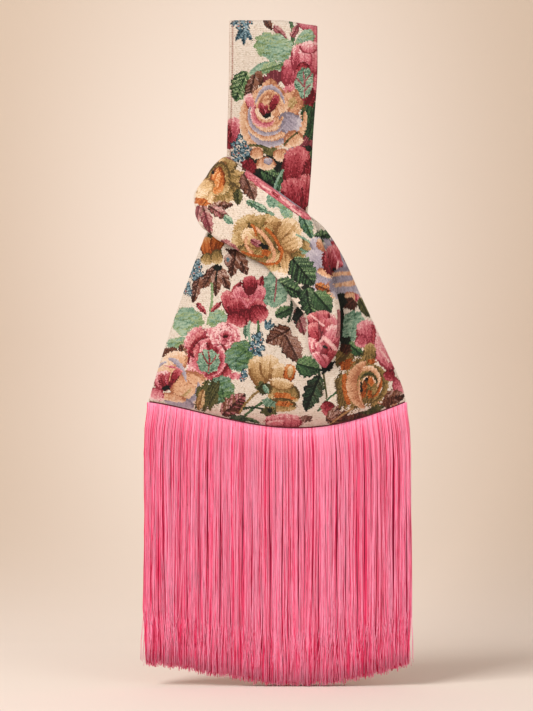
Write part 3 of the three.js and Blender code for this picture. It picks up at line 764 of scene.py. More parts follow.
pouch_front = woven_sheet("pouch_front", 236, 172, (236, 172), pouch_wall(-1), POUCH_CHART, CLOTH,
                          lambda v: v < 0, panel_wall, panel_shade)
pouch_back = woven_sheet("pouch_back", 190, 138, (236, 172), pouch_wall(1), POUCH_CHART, CLOTH,
                         lambda v: v >= 0, panel_wall, panel_shade)
for panel in (pouch_front, pouch_back):
    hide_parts("pouch")
    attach(panel, "root")

# The dark line at the bottom seam
# A thin dark red cord along the pouch's bottom edge from corner to corner, between the two panels above it
# and the fringe's tape below. Its dark colour is painted shade: it stands for the thin line of shadow where
# the cloth's edge meets the fringe's heads.
SEAM_SHADOW_RADIUS, SEAM_SHADOW_INSET, SEAM_SHADOW_DROP = 1.0, 0.8, 0.5
seam_shadow_line = bpy.data.curves.new("seam_shadow_cord", "CURVE")
seam_shadow_line.dimensions = "3D"
seam_shadow_line.bevel_depth = SEAM_SHADOW_RADIUS * MM
seam_shadow_line.bevel_resolution = 2
seam_shadow_line.use_fill_caps = True
seam_shadow_x = np.linspace(LEFT_CORNER + SEAM_SHADOW_INSET, RIGHT_CORNER - SEAM_SHADOW_INSET, 90)
seam_shadow_spline = seam_shadow_line.splines.new("POLY")
seam_shadow_spline.points.add(len(seam_shadow_x) - 1)
seam_shadow_z = bottom_level(seam_shadow_x) - SEAM_SHADOW_DROP
seam_shadow_points = np.stack([seam_shadow_x, 0 * seam_shadow_x, seam_shadow_z, 0 * seam_shadow_x + 1 / MM], 1) * MM
seam_shadow_spline.points.foreach_set("co", seam_shadow_points.ravel())
seam_shadow_cord = new_object("bottom_seam_shadow", seam_shadow_line)
cord_cloth, cord_tree, cord_shader = new_material("dark_red_seam_shadow", 0.8, 0.5)
cord_place = add_node(cord_tree, "TexCoord")
cord_twist = add_node(cord_tree, "TexNoise", Scale=700.0)
cord_tone = colour_ramp(cord_tree, (0.3, "4a1418"), (0.7, "85303a"))
join(cord_tree, (cord_place, "Object", cord_twist, "Vector"), (cord_twist, "Fac", cord_tone, "Fac"),
     (cord_tone, "Color", cord_shader, "Base Color"))
seam_shadow_line.materials.append(cord_cloth)
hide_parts("pouch")
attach(seam_shadow_cord, "root")

# The long handle
# A wide loop of doubled cloth with its edges turned in and topstitched. It rises from the pouch's left
# half, passes through the short handle's loop, and is the loop that the hand holds.
STRAP_CHART = """
patch 310 128 18 80 0 green 0.3
patch 305 146 14 16 10 rose_brown 0.2
patch 303 104 8 14 0 olive_leaf 0.4
patch 272 172 60 36 12 night 0.45
patch 302 151 24 7 -8 night 0.5
# buds and leaves at the top
petal 307 27 24 12 200 pink 0.2 0.8
stem 314 26 316 100 0 5 pink
blossoms 242 26 22 10 8
fan 244 30 17 6 90 blue 3 34
leaf 268 25 15 8 60 brown
stem 289 20 292 46 2 3 green
leaf 280 34 19 8 45 rose_brown none 2
leaf 295 32 16 7 -60 rose_brown none 2
# sage leaves
broad 304 43 24 16 -55 sage pale_teal
broad 272 48 39 27 18 sage pale_teal
stem 250 80 283 70 8 7 pale_teal
leaf 272 69 26 12 -18 sage teal
patch 272 80 26 14 -24 rose_brown 0.05
petal 259 80 9 16 170 brown 0.2 0.7
leaf 241 88 32 22 112 green sage
leaf 251 92 34 13 104 brown mauve_brown
# the pink rose at the right edge, with a leaf
petal 290 74 18 30 195 pink 0.0 0.6
petal 298 60 15 30 188 pink 0.0 0.8
petal 312 62 14 34 176 pink 0.1 0.85
petal 305 60 15 28 182 pink 0.1 0.95
petal 309 49 20 13 178 pink 0.3 1.0
petal 303 70 14 14 10 crimson 0.2 0.7
petal 294 98 22 26 160 pink 0.0 0.6
patch 310 98 12 20 0 crimson 0.15
broad 304 83 30 18 100 teal pale_teal
stem 303 74 304 98 1 1 rose_brown
stem 304 84 311 75 0 1 rose_brown
stem 303 88 296 79 0 1 rose_brown
stem 304 93 310 86 0 1 rose_brown
# a pink bud and blue sprigs at the left edge
petal 232 134 16 32 190 pink 0.0 0.7
patch 229 137 6 22 0 crimson 0.2
blossoms 241 151 20 26 16
patch 249 167 16 14 20 crimson 0.25
leaf 272 177 26 14 30 forest green
leaf 282 182 26 10 118 green teal
# the large peach and lilac rose
arc 272 117 66 66 -8 68 6 peach 0.3 0.8
patch 276 120 52 56 0 peach 0.5
arc 270 118 52 66 88 215 11 peach 0.2 0.85
petal 251 104 10 19 160 pink 0.3 0.9
leaf 270 100 40 34 -88 peach none 2
leaf 291 105 30 24 -70 peach none 2
patch 292 104 8 12 20 olive_gold 0.75
arc 270 118 50 54 40 150 6 lilac 0.2 0.9
arc 268 116 44 46 16 190 5 peach 0.2 0.9
petal 289 124 22 24 -50 lilac 0.1 0.85
petal 293 140 20 17 -25 peach 0.2 0.8
arc 268 116 38 38 20 205 4 lilac 0.2 0.9
arc 270 112 30 46 196 344 4 lilac 0.2 0.9
arc 270 112 24 36 190 350 4 peach 0.1 0.7
arc 268 114 30 30 10 190 5 peach 0.2 0.9
arc 265 114 24 24 40 220 6 pink 0.3 0.9
petal 267 110 20 22 25 peach 0.5 0.9
petal 262.5 111 7 15 164 crimson 0.0 0.5
petal 268 111 7 12 190 crimson 0.1 0.6
petal 273 106 8 21 208 crimson 0.0 0.5
stem 262 106 266 114 0 0.8 pink
stem 268 103 269 111 0 0.9 peach
patch 267 117 9 5 -22 night 0.1
# olive leaves and peach buds under it
stem 250 146 272 152 2 2 olive_leaf
stem 284 146 297 134 1 1.5 olive_leaf
patch 270 152 18 8 0 olive_leaf 0.5
petal 257 154 13 12 0 peach 0.3 0.7
petal 282 156 18 13 10 peach 0.3 0.8
petal 291 153 15 8 -30 lilac 0.4 0.8
petal 266 164 20 13 0 peach 0.3 0.8
petal 268 162 9 7 180 lilac 0.3 0.8
# crimson petals down to the knot
petal 302 168 20 42 170 crimson 0.1 0.6
petal 294 168 24 42 190 crimson 0.15 0.7
petal 303 195 20 40 195 crimson 0.1 0.7
petal 293 196 22 36 170 crimson 0.1 0.65
stem 274 190 283 171 1 2 pale_teal
"""
ROOT_START, ROOT_END, ROOT_GAP = 0.1, 0.7, 1.9
STRAP_DROP, STRAP_SLANT = 204.0, 62.0
TOP_RADIUS, LOOP_GAP, KNOT_GAP, DROOP = 8.0, 12.0, 5.6, 5.0
LEFT_EDGE = ((0, -0.507), (0.25, -0.512), (0.58, -0.533), (0.66, -0.535), (0.8, -0.575), (1, -0.7))
RIGHT_EDGE = ((0, 0.503), (0.18, 0.5), (0.4, 0.455), (0.55, 0.43), (0.69, 0.393), (0.85, 0.33), (1, 0.19))
SPREAD = ((0, 0.45), (0.12, 0.8), (0.3, 1), (0.5, 0.6), (0.64, 0.02), (0.8, 0), (1, 0))
SIDE_PART = 0.47
STITCH_IN, STITCH_WAVE = 3.4, 1100
# the share to which all the strap's thread colours are scaled
STRAP_DARKER = 0.87


def strap_place(u, v):
    radius = TOP_RADIUS + HANDLE / 2
    arc_start = HANDLE / 2 - radius
    droop = DROOP * ease(0.55, 1, u)
    front = v < 0.5
    down = np.clip(np.where(front, (SIDE_PART - v) / SIDE_PART, (v - 1 + SIDE_PART) / SIDE_PART), 0, 1)
    left = HAND_WIDTH * read(LEFT_EDGE, down)
    right = HAND_WIDTH * read(RIGHT_EDGE, down)
    root = rim(mix(ROOT_START, ROOT_END, u))
    settle = ease(0.6, 1, down)
    level = arc_start - down * (STRAP_DROP + arc_start + u * STRAP_SLANT) - droop * (1 - ease(0, 0.3, down))
    x = mix(mix(left, right, u), root[0], settle)
    z = mix(level, root[1] + ROOT_GAP, settle)
    spread = mix(KNOT_GAP, LOOP_GAP, read(SPREAD, down))
    loose = mix(radius, spread + HANDLE / 2, ease(0, 0.12, down))
    at_rim = np.maximum(pouch_half(x, z) + CLOTH / 2, HANDLE / 2 + 0.5)
    depth = mix(loose, at_rim, ease(0.72, 1, down))
    depth = depth + 0.5 * np.sin(z * 0.07 + 1) * np.sin(np.pi * u) * ease(0.05, 0.2, down)
    depth = np.where(front, -depth, depth)
    over = (v > SIDE_PART) & (v < 1 - SIDE_PART)
    angle = np.pi * (v - SIDE_PART) / (1 - 2 * SIDE_PART)
    depth = np.where(over, -radius * np.cos(angle), depth)
    z = np.where(over, arc_start + radius * np.sin(angle) - droop, z)
    return np.stack([x, depth, z], 1)


def handle_wall(u, v):
    """A handle's wall: rounded at its turned edges, with a groove along the topstitching."""
    edge = np.minimum(u, 1 - u) * HAND_WIDTH
    stitch = 0.34 * np.exp(-((edge - STITCH_IN) / 0.9) ** 2) * (1 + 0.25 * np.sin(v * STITCH_WAVE))
    return 0.25 + 0.75 * ease(-0.2, 2.2, edge) - stitch


def stitch_and_edge_shade(u, v):
    """Painted shade in the topstitching's groove, a little darker on each stitch, and along the turned
    edges, all warm, over a darkening of all the strap's colours.
    """
    edge = np.minimum(u, 1 - u) * HAND_WIDTH
    groove = np.exp(-((edge - STITCH_IN) / 0.85) ** 2)
    shade = groove * (0.42 + 0.2 * (np.sin(v * STITCH_WAVE) > 0.3)) + 0.25 * np.exp(-(edge / 0.9) ** 2)
    return STRAP_DARKER * (1 - shade[:, None] * np.array([0.75, 1.1, 1.15]))


long_handle = woven_sheet("long_handle", 86, 450, (87, 520), strap_place, STRAP_CHART, HANDLE_SHEET,
                          lambda v: v > 0.5, handle_wall, stitch_and_edge_shade)
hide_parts("long_handle")
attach(long_handle, "root")

# The short handle
# The short loop of doubled cloth. It crosses the long handle on the slant, turns round its left side
# and comes back behind. On the front it runs down into a rolled, overhanging pleat.
BAND_CHART = """
# a rose and leaves that only the back shows
petal 341 178 26 30 160 pink 0.1 0.8
petal 333 190 24 24 100 pink 0.1 0.8
petal 348 192 24 26 220 crimson 0.1 0.75
petal 340 201 24 18 10 pink 0.3 0.9
heart 341 187 12 12 0 crimson
leaf 322 214 24 12 30 forest green
leaf 340 219 22 11 80 sage pale_teal
leaf 316 196 20 10 -20 teal pale_teal
rose 232 338 28 42 0 pink crimson crimson 5 0.05
leaf 245 300 28 16 60 green forest
leaf 228 293 24 13 110 teal pale_teal
# the rust and gold rose at the turn
petal 232 161 14 12 30 pink 0.3 0.8
petal 226 166 22 24 200 olive_gold 0.1 0.8
petal 230 183 20 36 -100 olive_gold 0.1 0.7
petal 215 172 26 34 160 gold 0.1 0.8
petal 225 194 30 22 -20 olive_gold 0.0 0.7
petal 208 195 20 24 30 gold 0.4 1.0
patch 203 203 16 7 20 rust 0.5
petal 219 180 24 34 10 olive_gold 0.3 0.8
petal 218 182 15 28 8 rust 0.2 0.7
patch 217 181 8 20 8 rust 0.75
patch 214 174 3 4 0 night 0.1
patch 212 184 3 4 0 night 0.1
petal 207 188 16 18 60 gold 0.5 1.0
# brown and rose leaves round it
leaf 238 199 16 10 90 olive_leaf
leaf 247 169 24 10 48 brown mauve_brown
leaf 258 180 16 7 40 rose_brown
leaf 249 188 30 17 70 mauve_brown brown
leaf 222 207 24 9 -4 brown mauve_brown
leaf 199 215 18 9 100 rose_brown
leaf 208 221 30 11 74 rose_brown mauve_brown
leaf 220 214 26 10 32 mauve_brown rose_brown
leaf 229 221 12 7 40 pale_teal none 2
# pale leaves on the ivory
leaf 254 206 17 7 20 teal green
leaf 261 210 16 8 30 teal pale_teal
leaf 270 218 12 9 40 teal
broad 272 201 15 12 80 pale_teal teal
broad 285 209 24 12 72 sage pale_teal
stem 268 204 290 222 3 1 pale_teal
# the large gold rose
petal 249 231 30 28 140 olive_gold 0.1 0.8
petal 244 241 22 24 110 olive_gold 0.2 0.85
petal 264 227 32 22 178 olive_gold 0.0 0.75
petal 274 228 20 18 192 gold 0.0 0.6
petal 252 256 30 24 42 olive_gold 0.1 0.8
petal 298 250 22 24 -75 olive_gold 0.0 0.6
petal 287 234 25 30 215 gold 0.1 0.9
petal 290 244 20 24 245 gold 0.2 0.95
petal 284 262 18 25 -8 gold 0.1 0.95
petal 267 263 28 18 8 olive_gold 0.2 0.9
patch 262 246 34 30 20 olive_gold 0.5
petal 252 240 16 24 140 gold 0.3 0.95
petal 269 239 13 26 162 olive_gold 0.0 0.6
petal 272 254 15 18 -30 olive_gold 0.2 0.8
leaf 257 244 14 7 28 rose_brown none 2
stem 257 230 274 253 2 3.4 peach
stem 274 252 268 262 3 3 peach
stem 247 238 252 253 -3 2.4 peach
stem 252 226 256 236 1 2 rust
stem 266 230 280 250 2 2.6 rust
stem 281 248 276 264 3 2.6 rust
stem 277 263 259 262 2 2 rust
stem 243 252 262 257 -1 1.8 rust
patch 266 253 9 8 0 rust 0.5
patch 264 247 10 5 25 night 0.1
leaf 232 248 26 9 36 rose_brown none 2
# teal leaves and stems
leaf 306 227 28 12 66 teal green
stem 296 236 312 246 1 1.5 pale_teal
stem 300 250 316 252 -2 2 teal
stem 302 254 318 258 1 1.5 pale_teal
leaf 323 235 20 12 -20 forest green
# the lilac and crimson flower at the roll
petal 318 246 18 16 170 lilac 0.2 0.8
petal 327 247 24 14 190 peach 0.1 0.7
petal 322 266 20 40 130 lilac 0.2 0.8
petal 325 280 26 30 30 lilac 0.1 0.7
petal 326 274 20 9 20 peach 0.3 0.7
petal 329 292 12 20 10 peach 0.2 0.7
petal 346 262 22 42 -110 lilac 0.2 0.7
petal 346 284 36 34 -10 lilac 0.1 0.75
patch 342 275 32 4 -4 peach 0.5
patch 347 284 30 5 -8 peach 0.55
petal 348 298 18 12 0 peach 0.3 0.8
petal 333 261 24 32 190 crimson 0.1 0.75
petal 336 262 14 26 200 pink 0.1 0.7
patch 329 245 15 9 35 lilac 0.4
patch 334 243 5 6 0 crimson 0.3
stem 338 253 344 272 1 2.4 pink
heart 331 264 13 22 0 crimson
# dark green leaves
leaf 303 273 34 26 52 forest green
leaf 290 289 30 20 26 forest green
patch 308 290 14 8 30 night 0.5
leaf 322 289 16 9 25 rust brown
leaf 309 303 30 20 80 forest green
leaf 322 303 26 20 50 green forest
# the pink rose on the pleat
petal 323 340 33 56 172 pink 0.0 0.55
petal 318 320 24 17 165 crimson 0.2 0.85
petal 315 333 15 21 155 crimson 0.2 0.85
petal 326 327 14 16 190 crimson 0.2 0.8
stem 310 315 324 326 0 1.6 ivory_pink
stem 316 313 327 322 1 1.2 pink
petal 331 337 16 24 202 pink 0.15 0.85
petal 313 348 15 24 140 pink 0.1 0.85
stem 313 340 312 350 -1 1.6 ivory_pink
petal 322 353 20 19 165 crimson -0.1 0.6
stem 324 338 337 355 1 3.6 ivory_pink
stem 324 338 316 344 1 2 ivory_pink
petal 318 351 8 15 195 pink 0.1 0.7
patch 325 347 5 3 35 night 0.2
petal 329 358 11 19 215 crimson 0.0 0.6
petal 317 359 12 15 140 pink 0.1 0.8
petal 324 363 9 18 175 pink 0.0 0.55
stem 320 354 325 362 1 1 crimson
stem 337 312 336 336 1 3 rose_brown
# the rolled edge's strip
stem 228 157 254 173 1 5 rose_brown
stem 250 175 307 216 -1 10 pink
stem 262 181 274 189 0 2 rose_brown
stem 254 174 266 182 0 1.8 peach
stem 274 189 284 197 0 2.4 lilac
stem 280 199 291 207 0 1.8 ivory_pink
stem 287 199 299 208 0 2.8 lilac
stem 271 193 279 199 0 1.6 crimson
stem 262 187 270 192 0 1.6 ivory_pink
stem 296 208 306 214 0 1.8 rose_brown
stem 290 209 300 216 0 1.4 ivory_pink
"""
BAND = (
    # at, low x, low z, high x, high z, puff, roll, tuck, turn
    (0, 0.535, 0.985, 0.61, 0.99, 0.1, 0.3, 0.1, 0),
    (0.09, 0.4, 0.915, 0.735, 0.91, 0.5, 0.85, 0.1, 0),
    (0.18, 0.375, 0.825, 0.765, 0.81, 0.6, 1, 0.1, 0),
    (0.25, 0.365, 0.76, 0.76, 0.71, 0.6, 1, 0.1, 0),
    (0.32, 0.275, 0.715, 0.715, 0.63, 0.6, 0.9, 0.1, 0),
    (0.39, 0.17, 0.66, 0.67, 0.54, 0.7, 0.75, 0.1, 0),
    (0.47, 0.045, 0.59, 0.6, 0.437, 0.8, 0.6, 0.2, 0),
    (0.57, -0.12, 0.52, 0.436, 0.288, 0.8, 0.5, 0.4, 0),
    (0.67, -0.295, 0.484, 0.205, 0.209, 0.9, 0.5, 0.6, 0),
    (0.76, -0.48, 0.437, -0.1, 0.121, 1, 0.5, 0.7, 0),
    (0.84, -0.655, 0.4, -0.365, 0.051, 1, 0.5, 0.7, 0),
    (0.9, -0.775, 0.36, -0.55, 0.004, 1, 0.5, 0.7, 0.2),
    (0.95, -0.87, 0.335, -0.67, 0.025, 0.9, 0.5, 0.6, 0.62),
    (1, -0.92, 0.3, -0.74, 0.075, 0.8, 0.5, 0.5, 1),
)
PUFF, ROLL_RADIUS, TUCK_RADIUS, RESTING = 7.0, 7.0, 6.0, 0.7
ROLL_SWEEP = math.radians(110)
TUCK_PART, ROLL_PART = 0.12, 0.15


def bent_edge(radius, share, part):
    curve = np.maximum(share, 0.05) / radius
    bend = curve * radius * ROLL_SWEEP * part
    return np.sin(bend) / curve, (1 - np.cos(bend)) / curve


def bent_extent(radius, share):
    curve = np.maximum(share, 0.05) / radius
    bend = curve * radius * ROLL_SWEEP
    return np.where(bend > np.pi / 2, 1 / curve, np.sin(bend) / curve)


def band_place(u, v):
    front = v < 0.5
    at = np.where(front, 2 * v, 2 - 2 * v)
    low_x, low_z, high_x, high_z, puff, roll, tuck, turn = [
        read([(row[0], row[column]) for row in BAND], at) for column in range(1, 9)]
    low = np.stack([HAND_WIDTH * low_x, -KNOT_DROP - BAND_DROP * low_z], 1)
    high = np.stack([HAND_WIDTH * high_x, -KNOT_DROP - BAND_DROP * high_z], 1)
    upward = high - low
    reach_all = np.hypot(upward[:, 0], upward[:, 1])
    upward = upward / reach_all[:, None]
    width = reach_all - HANDLE
    low = low + upward * HANDLE / 2
    room = np.minimum(width * 0.7 / (bent_extent(TUCK_RADIUS, tuck) + bent_extent(ROLL_RADIUS, roll)), 1)
    tuck_size, roll_size = TUCK_RADIUS * room, ROLL_RADIUS * room
    tuck_end, roll_end = bent_extent(tuck_size, tuck), bent_extent(roll_size, roll)
    tuck_fall, roll_fall = bent_edge(tuck_size, tuck, 1)[1], bent_edge(roll_size, roll, 1)[1]
    low_bend = bent_edge(tuck_size, tuck, np.clip((TUCK_PART - u) / TUCK_PART, 0, 1))
    high_bend = bent_edge(roll_size, roll, np.clip((u - 1 + ROLL_PART) / ROLL_PART, 0, 1))
    share = np.clip((u - TUCK_PART) / (1 - TUCK_PART - ROLL_PART), 0, 1)
    reach = mix(tuck_end, width - roll_end, share)
    lift = mix(tuck_fall, roll_fall, share) + room * PUFF * puff * np.sin(np.pi * share)
    reach = np.where(u < TUCK_PART, tuck_end - low_bend[0], reach)
    lift = np.where(u < TUCK_PART, tuck_fall - low_bend[1], lift)
    reach = np.where(u > 1 - ROLL_PART, width - roll_end + high_bend[0], reach)
    lift = np.where(u > 1 - ROLL_PART, roll_fall - high_bend[1], lift)
    spot = low + upward * reach[:, None]
    angle = turn * np.pi / 2
    outward = np.stack([-upward[:, 1], upward[:, 0]], 1)
    under = np.maximum(KNOT_GAP + HANDLE, pouch_half(spot[:, 0], spot[:, 1]) + CLOTH / 2 + HANDLE / 2)
    stand = 6 * np.exp(-((at - 0.3) / 0.09) ** 2) * (1 - u) ** 1.5 + 3.5 * ease(0.5, 0.7, at) * (1 - u) ** 2
    stand = stand + 7 * np.sin(np.pi * np.clip((at - 0.02) / 0.44, 0, 1)) * u ** 2
    depth = (under + RESTING + HANDLE / 2 + lift + stand) * np.maximum(np.cos(angle), 0) ** 0.6
    spot = spot + outward * ((lift - tuck_fall) * np.sin(angle))[:, None]
    return np.stack([spot[:, 0], np.where(front, -depth, depth), spot[:, 1]], 1)


def band_wall(u, v):
    edge = np.minimum(u, 1 - u) * HAND_WIDTH * 0.8
    return 0.25 + 0.75 * ease(-0.2, 2.2, edge)


short_handle = woven_sheet("short_handle", 86, 450, (84, 520), band_place, BAND_CHART, HANDLE_SHEET,
                           lambda v: v > 0.5, band_wall)
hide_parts("short_handle")
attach(short_handle, "root")

# The fringe
# Long twisted rayon threads, sewn to a tape under the bottom seam, below the thin dark red cord of painted
# shade. They bulge out over the tape, hang in soft uneven clumps, and fray at their cut ends.
FRINGE_LENGTH = 256.8
FRINGE_SPLAY = 4.4
THREAD_RADIUS = 0.32
SIDES = 3
DOWN = (0, 0.012, 0.035, 0.1, 0.2, 0.34, 0.5, 0.66, 0.8, 0.92, 1)
fringe_chance = np.random.default_rng(21)
floor_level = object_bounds()[0][2] / MM


def rayon_material(name, dark, middle, bright, roughness, glow=None):
    """Dyed rayon: each thread its own tone of pink, streaked along its length, with a soft gloss."""
    material, tree, shader = new_material(name, roughness, 0.3)
    strand = add_node(tree, "Attribute", {"attribute_name": "strand"})
    place = add_node(tree, "TexCoord")
    stretch = add_node(tree, "Mapping", Scale=(700, 700, 12))
    streak = add_node(tree, "TexNoise", Scale=1.0, Detail=2.0)
    blend = add_node(tree, "Math", {"operation": "ADD"})
    half = add_node(tree, "Math", {"operation": "MULTIPLY"})
    half.inputs[1].default_value = 0.62
    tone = colour_ramp(tree, (0.35, dark), (1.4 / 1.5, bright), (0.62, middle))
    join(tree, (place, "Object", stretch, "Vector"), (stretch, "Vector", streak, "Vector"),
         (streak, "Fac", blend, 0), (strand, "Fac", blend, 1), (blend, "Value", half, 0),
         (half, "Value", tone, "Fac"), (tone, "Color", shader, "Base Color"))
    if glow:
        # a faint painted glow, standing in for the light that the threads pass on to each other inside the
        # bundle
        shader.inputs["Emission Color"].default_value = (*linear(glow), 1)
        shader.inputs["Emission Strength"].default_value = 0.16
    return material


rayon = rayon_material("pink_rayon", "d2124a", "f6467a", "ffa4c2", 0.42)
# the core's rayon is a dimmer copy of the threads', painted shade inside the bundle, with a faint painted
# glow
rayon_deep = rayon_material("pink_rayon_inside", "c42452", "de4674", "ee6c90", 0.7, "c02450")
CLUMP_NARROW, CLUMP_WIDE, CLUMPS = 3.2, 9.5, 60
clump_edges = np.cumsum(fringe_chance.uniform(CLUMP_NARROW, CLUMP_WIDE, CLUMPS)) + LEFT_CORNER - 8


def clump_of(x):
    """The middle of the clump that a thread belongs to, its half width, and its number."""
    number = np.clip(np.searchsorted(clump_edges, x), 1, len(clump_edges) - 1)
    low, high = clump_edges[number - 1], clump_edges[number]
    return (low + high) / 2, (high - low) / 2, number


def hang(head_x, depth, length, stray):
    """The way of many threads down from the tape: out over it, together in clumps, loose at the end."""
    count = len(head_x)
    share = np.array(DOWN)[None, :]
    middle, half, number = clump_of(head_x)
    spread = (head_x - POUCH_SHIFT) / (POUCH_WIDTH / 2)
    offset = (head_x - middle)[:, None]
    tight = 1 - 0.12 * ease(0.03, 0.3, share) + 0.12 * ease(0.75, 1, share)
    sway = (1.1 * np.sin(number * 2.1))[:, None] * ease(0.1, 0.6, share)
    sway = sway + (0.8 * np.sin(number * 1.3))[:, None] * np.sin(share * 5)
    loose = fringe_chance.normal(0, 1, (count, 1)) * ease(0.72, 1, share) ** 1.3 * stray
    loose = loose + fringe_chance.normal(0, 0.9, (count, 1)) * ease(0.15, 1, share)
    kink = fringe_chance.normal(0, 0.6, (count, 1))
    kink = kink * np.sin(share * 11 + fringe_chance.uniform(0, 6, (count, 1)))
    x = middle[:, None] + offset * tight + FRINGE_SPLAY * spread[:, None] * ease(0, 0.16, share)
    x = x + sway + loose + kink * ease(0.05, 0.3, share)
    shy = np.abs(fringe_chance.normal(0, 1.3, (count, 1))) + (3.5 if stray < 3 else 0) * ease(0.8, 1, share)
    beyond = FRINGE_SPLAY + 1.6 + max(stray - 2.2, 0) * ease(0.4, 1, share)
    x = np.clip(x, LEFT_CORNER - beyond + shy, RIGHT_CORNER + beyond - shy)
    crown = np.sqrt(np.clip(1 - (offset / half[:, None]) ** 2, 0, 1))
    out = np.sign(depth)[:, None] * (1.2 * crown * ease(0.0, 0.12, share) + 1.8 * ease(0, 0.02, share))
    y = depth[:, None] * (0.45 + 0.55 * ease(0, 0.03, share)) + out
    y = y + fringe_chance.normal(0, 1, (count, 1)) * 0.9 * ease(0.7, 1, share)
    head_z = bottom_level(head_x)
    z = head_z[:, None] - 1.3 - length[:, None] * share
    return np.stack([x, y, np.maximum(z, floor_level + 0.6)], 2)


def threads(name, paths, radius, tone):
    """One mesh of many thin closed threads with three sides, each of its own tone, paler at its tip, with a
    painted highlight at its head.
    """
    count, steps = paths.shape[:2]
    turn = np.arange(SIDES) * 2 * math.pi / SIDES + math.pi / 6
    ring = np.stack([np.cos(turn), np.sin(turn), 0 * turn], 1) * radius
    corners = (paths[:, :, None, :] + ring).reshape(-1, 3) * MM
    step = np.repeat(np.arange(steps - 1), SIDES)
    side = np.tile(np.arange(SIDES), steps - 1)
    beside = (side + 1) % SIDES
    wall = np.stack([step * SIDES + side, (step + 1) * SIDES + side,
                     (step + 1) * SIDES + beside, step * SIDES + beside], 1)
    first = np.arange(count)[:, None] * steps * SIDES
    walls = (first[:, :, None] + wall).ravel()
    tops = (first + np.arange(SIDES)).ravel()
    ends = (first + (steps - 1) * SIDES + np.arange(SIDES)[::-1]).ravel()
    sizes = np.concatenate([np.full(len(walls) // 4, 4), np.full(2 * count, SIDES)])
    mesh = bpy.data.meshes.new(name)
    mesh.vertices.add(len(corners))
    mesh.vertices.foreach_set("co", corners.ravel())
    mesh.loops.add(int(sizes.sum()))
    mesh.loops.foreach_set("vertex_index", np.concatenate([walls, tops, ends]))
    mesh.polygons.add(len(sizes))
    mesh.polygons.foreach_set("loop_start", np.concatenate([[0], np.cumsum(sizes)[:-1]]))
    mesh.update(calc_edges=True)
    mesh.shade_smooth()
    mesh.materials.append(rayon)
    strand = mesh.attributes.new("strand", "FLOAT", "POINT")
    down = np.array(DOWN)
    # paler at the tip, and a painted highlight on the head where the threads bulge out over the tape
    pale = 0.3 * ease(0.9, 1, down) + 0.4 * (1 - ease(0, 0.08, down))
    strand.data.foreach_set("value", np.repeat((tone[:, None] + pale).ravel(), SIDES))
    piece = new_object(name, mesh)
    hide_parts("fringe")
    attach(piece, "root")


def thread_length(head_x):
    """The fringe is trimmed a little rounder than its seam, and no thread quite as its neighbour."""
    spread = (head_x - POUCH_SHIFT) / (POUCH_WIDTH / 2)
    short = 8 * np.sqrt(fringe_chance.random(len(head_x))) + 1.2 * np.sin(clump_of(head_x)[2] * 2.7)
    return FRINGE_LENGTH + 1.4 + 5.5 * spread ** 2 - short


LAYERS = (
    # name, threads, depth, thread radius, tone, how far the ends stray
    # the inner layer's darker tone is painted shade deep in the bundle
    ("fringe_front_inner", 1600, -4.0, 0.4, 0.2, 2.2),
    ("fringe_front", 1300, -4.8, THREAD_RADIUS, 0.55, 1.6),
    ("fringe_back", 1200, 4.2, 0.42, 0.5, 1.6),
)
for name, count, depth, radius, tone, stray in LAYERS:
    head = np.sort(fringe_chance.uniform(LEFT_CORNER + 0.3, RIGHT_CORNER - 0.3, count))
    tones = np.clip(fringe_chance.normal(tone, 0.3, count), -0.2, 1.2)
    depths = depth + np.sign(depth) * np.abs(fringe_chance.normal(0, 0.5, count))
    threads(name, hang(head, depths, thread_length(head), stray), radius, tones)
SIDE_COUNT, FLY_COUNT, FLY_RADIUS = 110, 560, 0.22
for side, corner in (("left", LEFT_CORNER), ("right", RIGHT_CORNER)):
    head = corner + fringe_chance.normal(0, 0.5, SIDE_COUNT)
    depths = fringe_chance.uniform(-4.6, 4.6, SIDE_COUNT)
    paths = hang(head, depths, thread_length(head), 2.0)
    threads("fringe_" + side, paths, THREAD_RADIUS, fringe_chance.uniform(0.1, 0.9, SIDE_COUNT))
# the flyaways' pale tones are painted highlights, fine glints along the fringe's face
head = fringe_chance.uniform(LEFT_CORNER, RIGHT_CORNER, FLY_COUNT)
paths = hang(head, fringe_chance.uniform(-6.2, -5.4, FLY_COUNT), thread_length(head), 4.5)
threads("fringe_flyaways", paths, FLY_RADIUS, fringe_chance.uniform(0.7, 1.7, FLY_COUNT))
CORE_DEEP, CORE_INSET, CORE_DROP, CORE_SHORT = 8, 1.5, 9, 27


def core_place(u, v):
    x = mix(LEFT_CORNER + CORE_INSET, RIGHT_CORNER - CORE_INSET, u)
    share = 1 - v
    spread = (x - POUCH_SHIFT) / (POUCH_WIDTH / 2)
    z = bottom_level(x) - CORE_DROP - (FRINGE_LENGTH - CORE_SHORT) * share
    return np.stack([x + FRINGE_SPLAY * spread * ease(0, 0.16, share), 0 * x, z], 1)


core_mesh = laid_grid("fringe_core", 240, 16, core_place)[0]
core_mesh.update()
core_mesh.materials.append(rayon_deep)
fringe_core = new_object("fringe_core", core_mesh)
thicken(fringe_core, "bundle", CORE_DEEP)
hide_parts("fringe")
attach(fringe_core, "root")

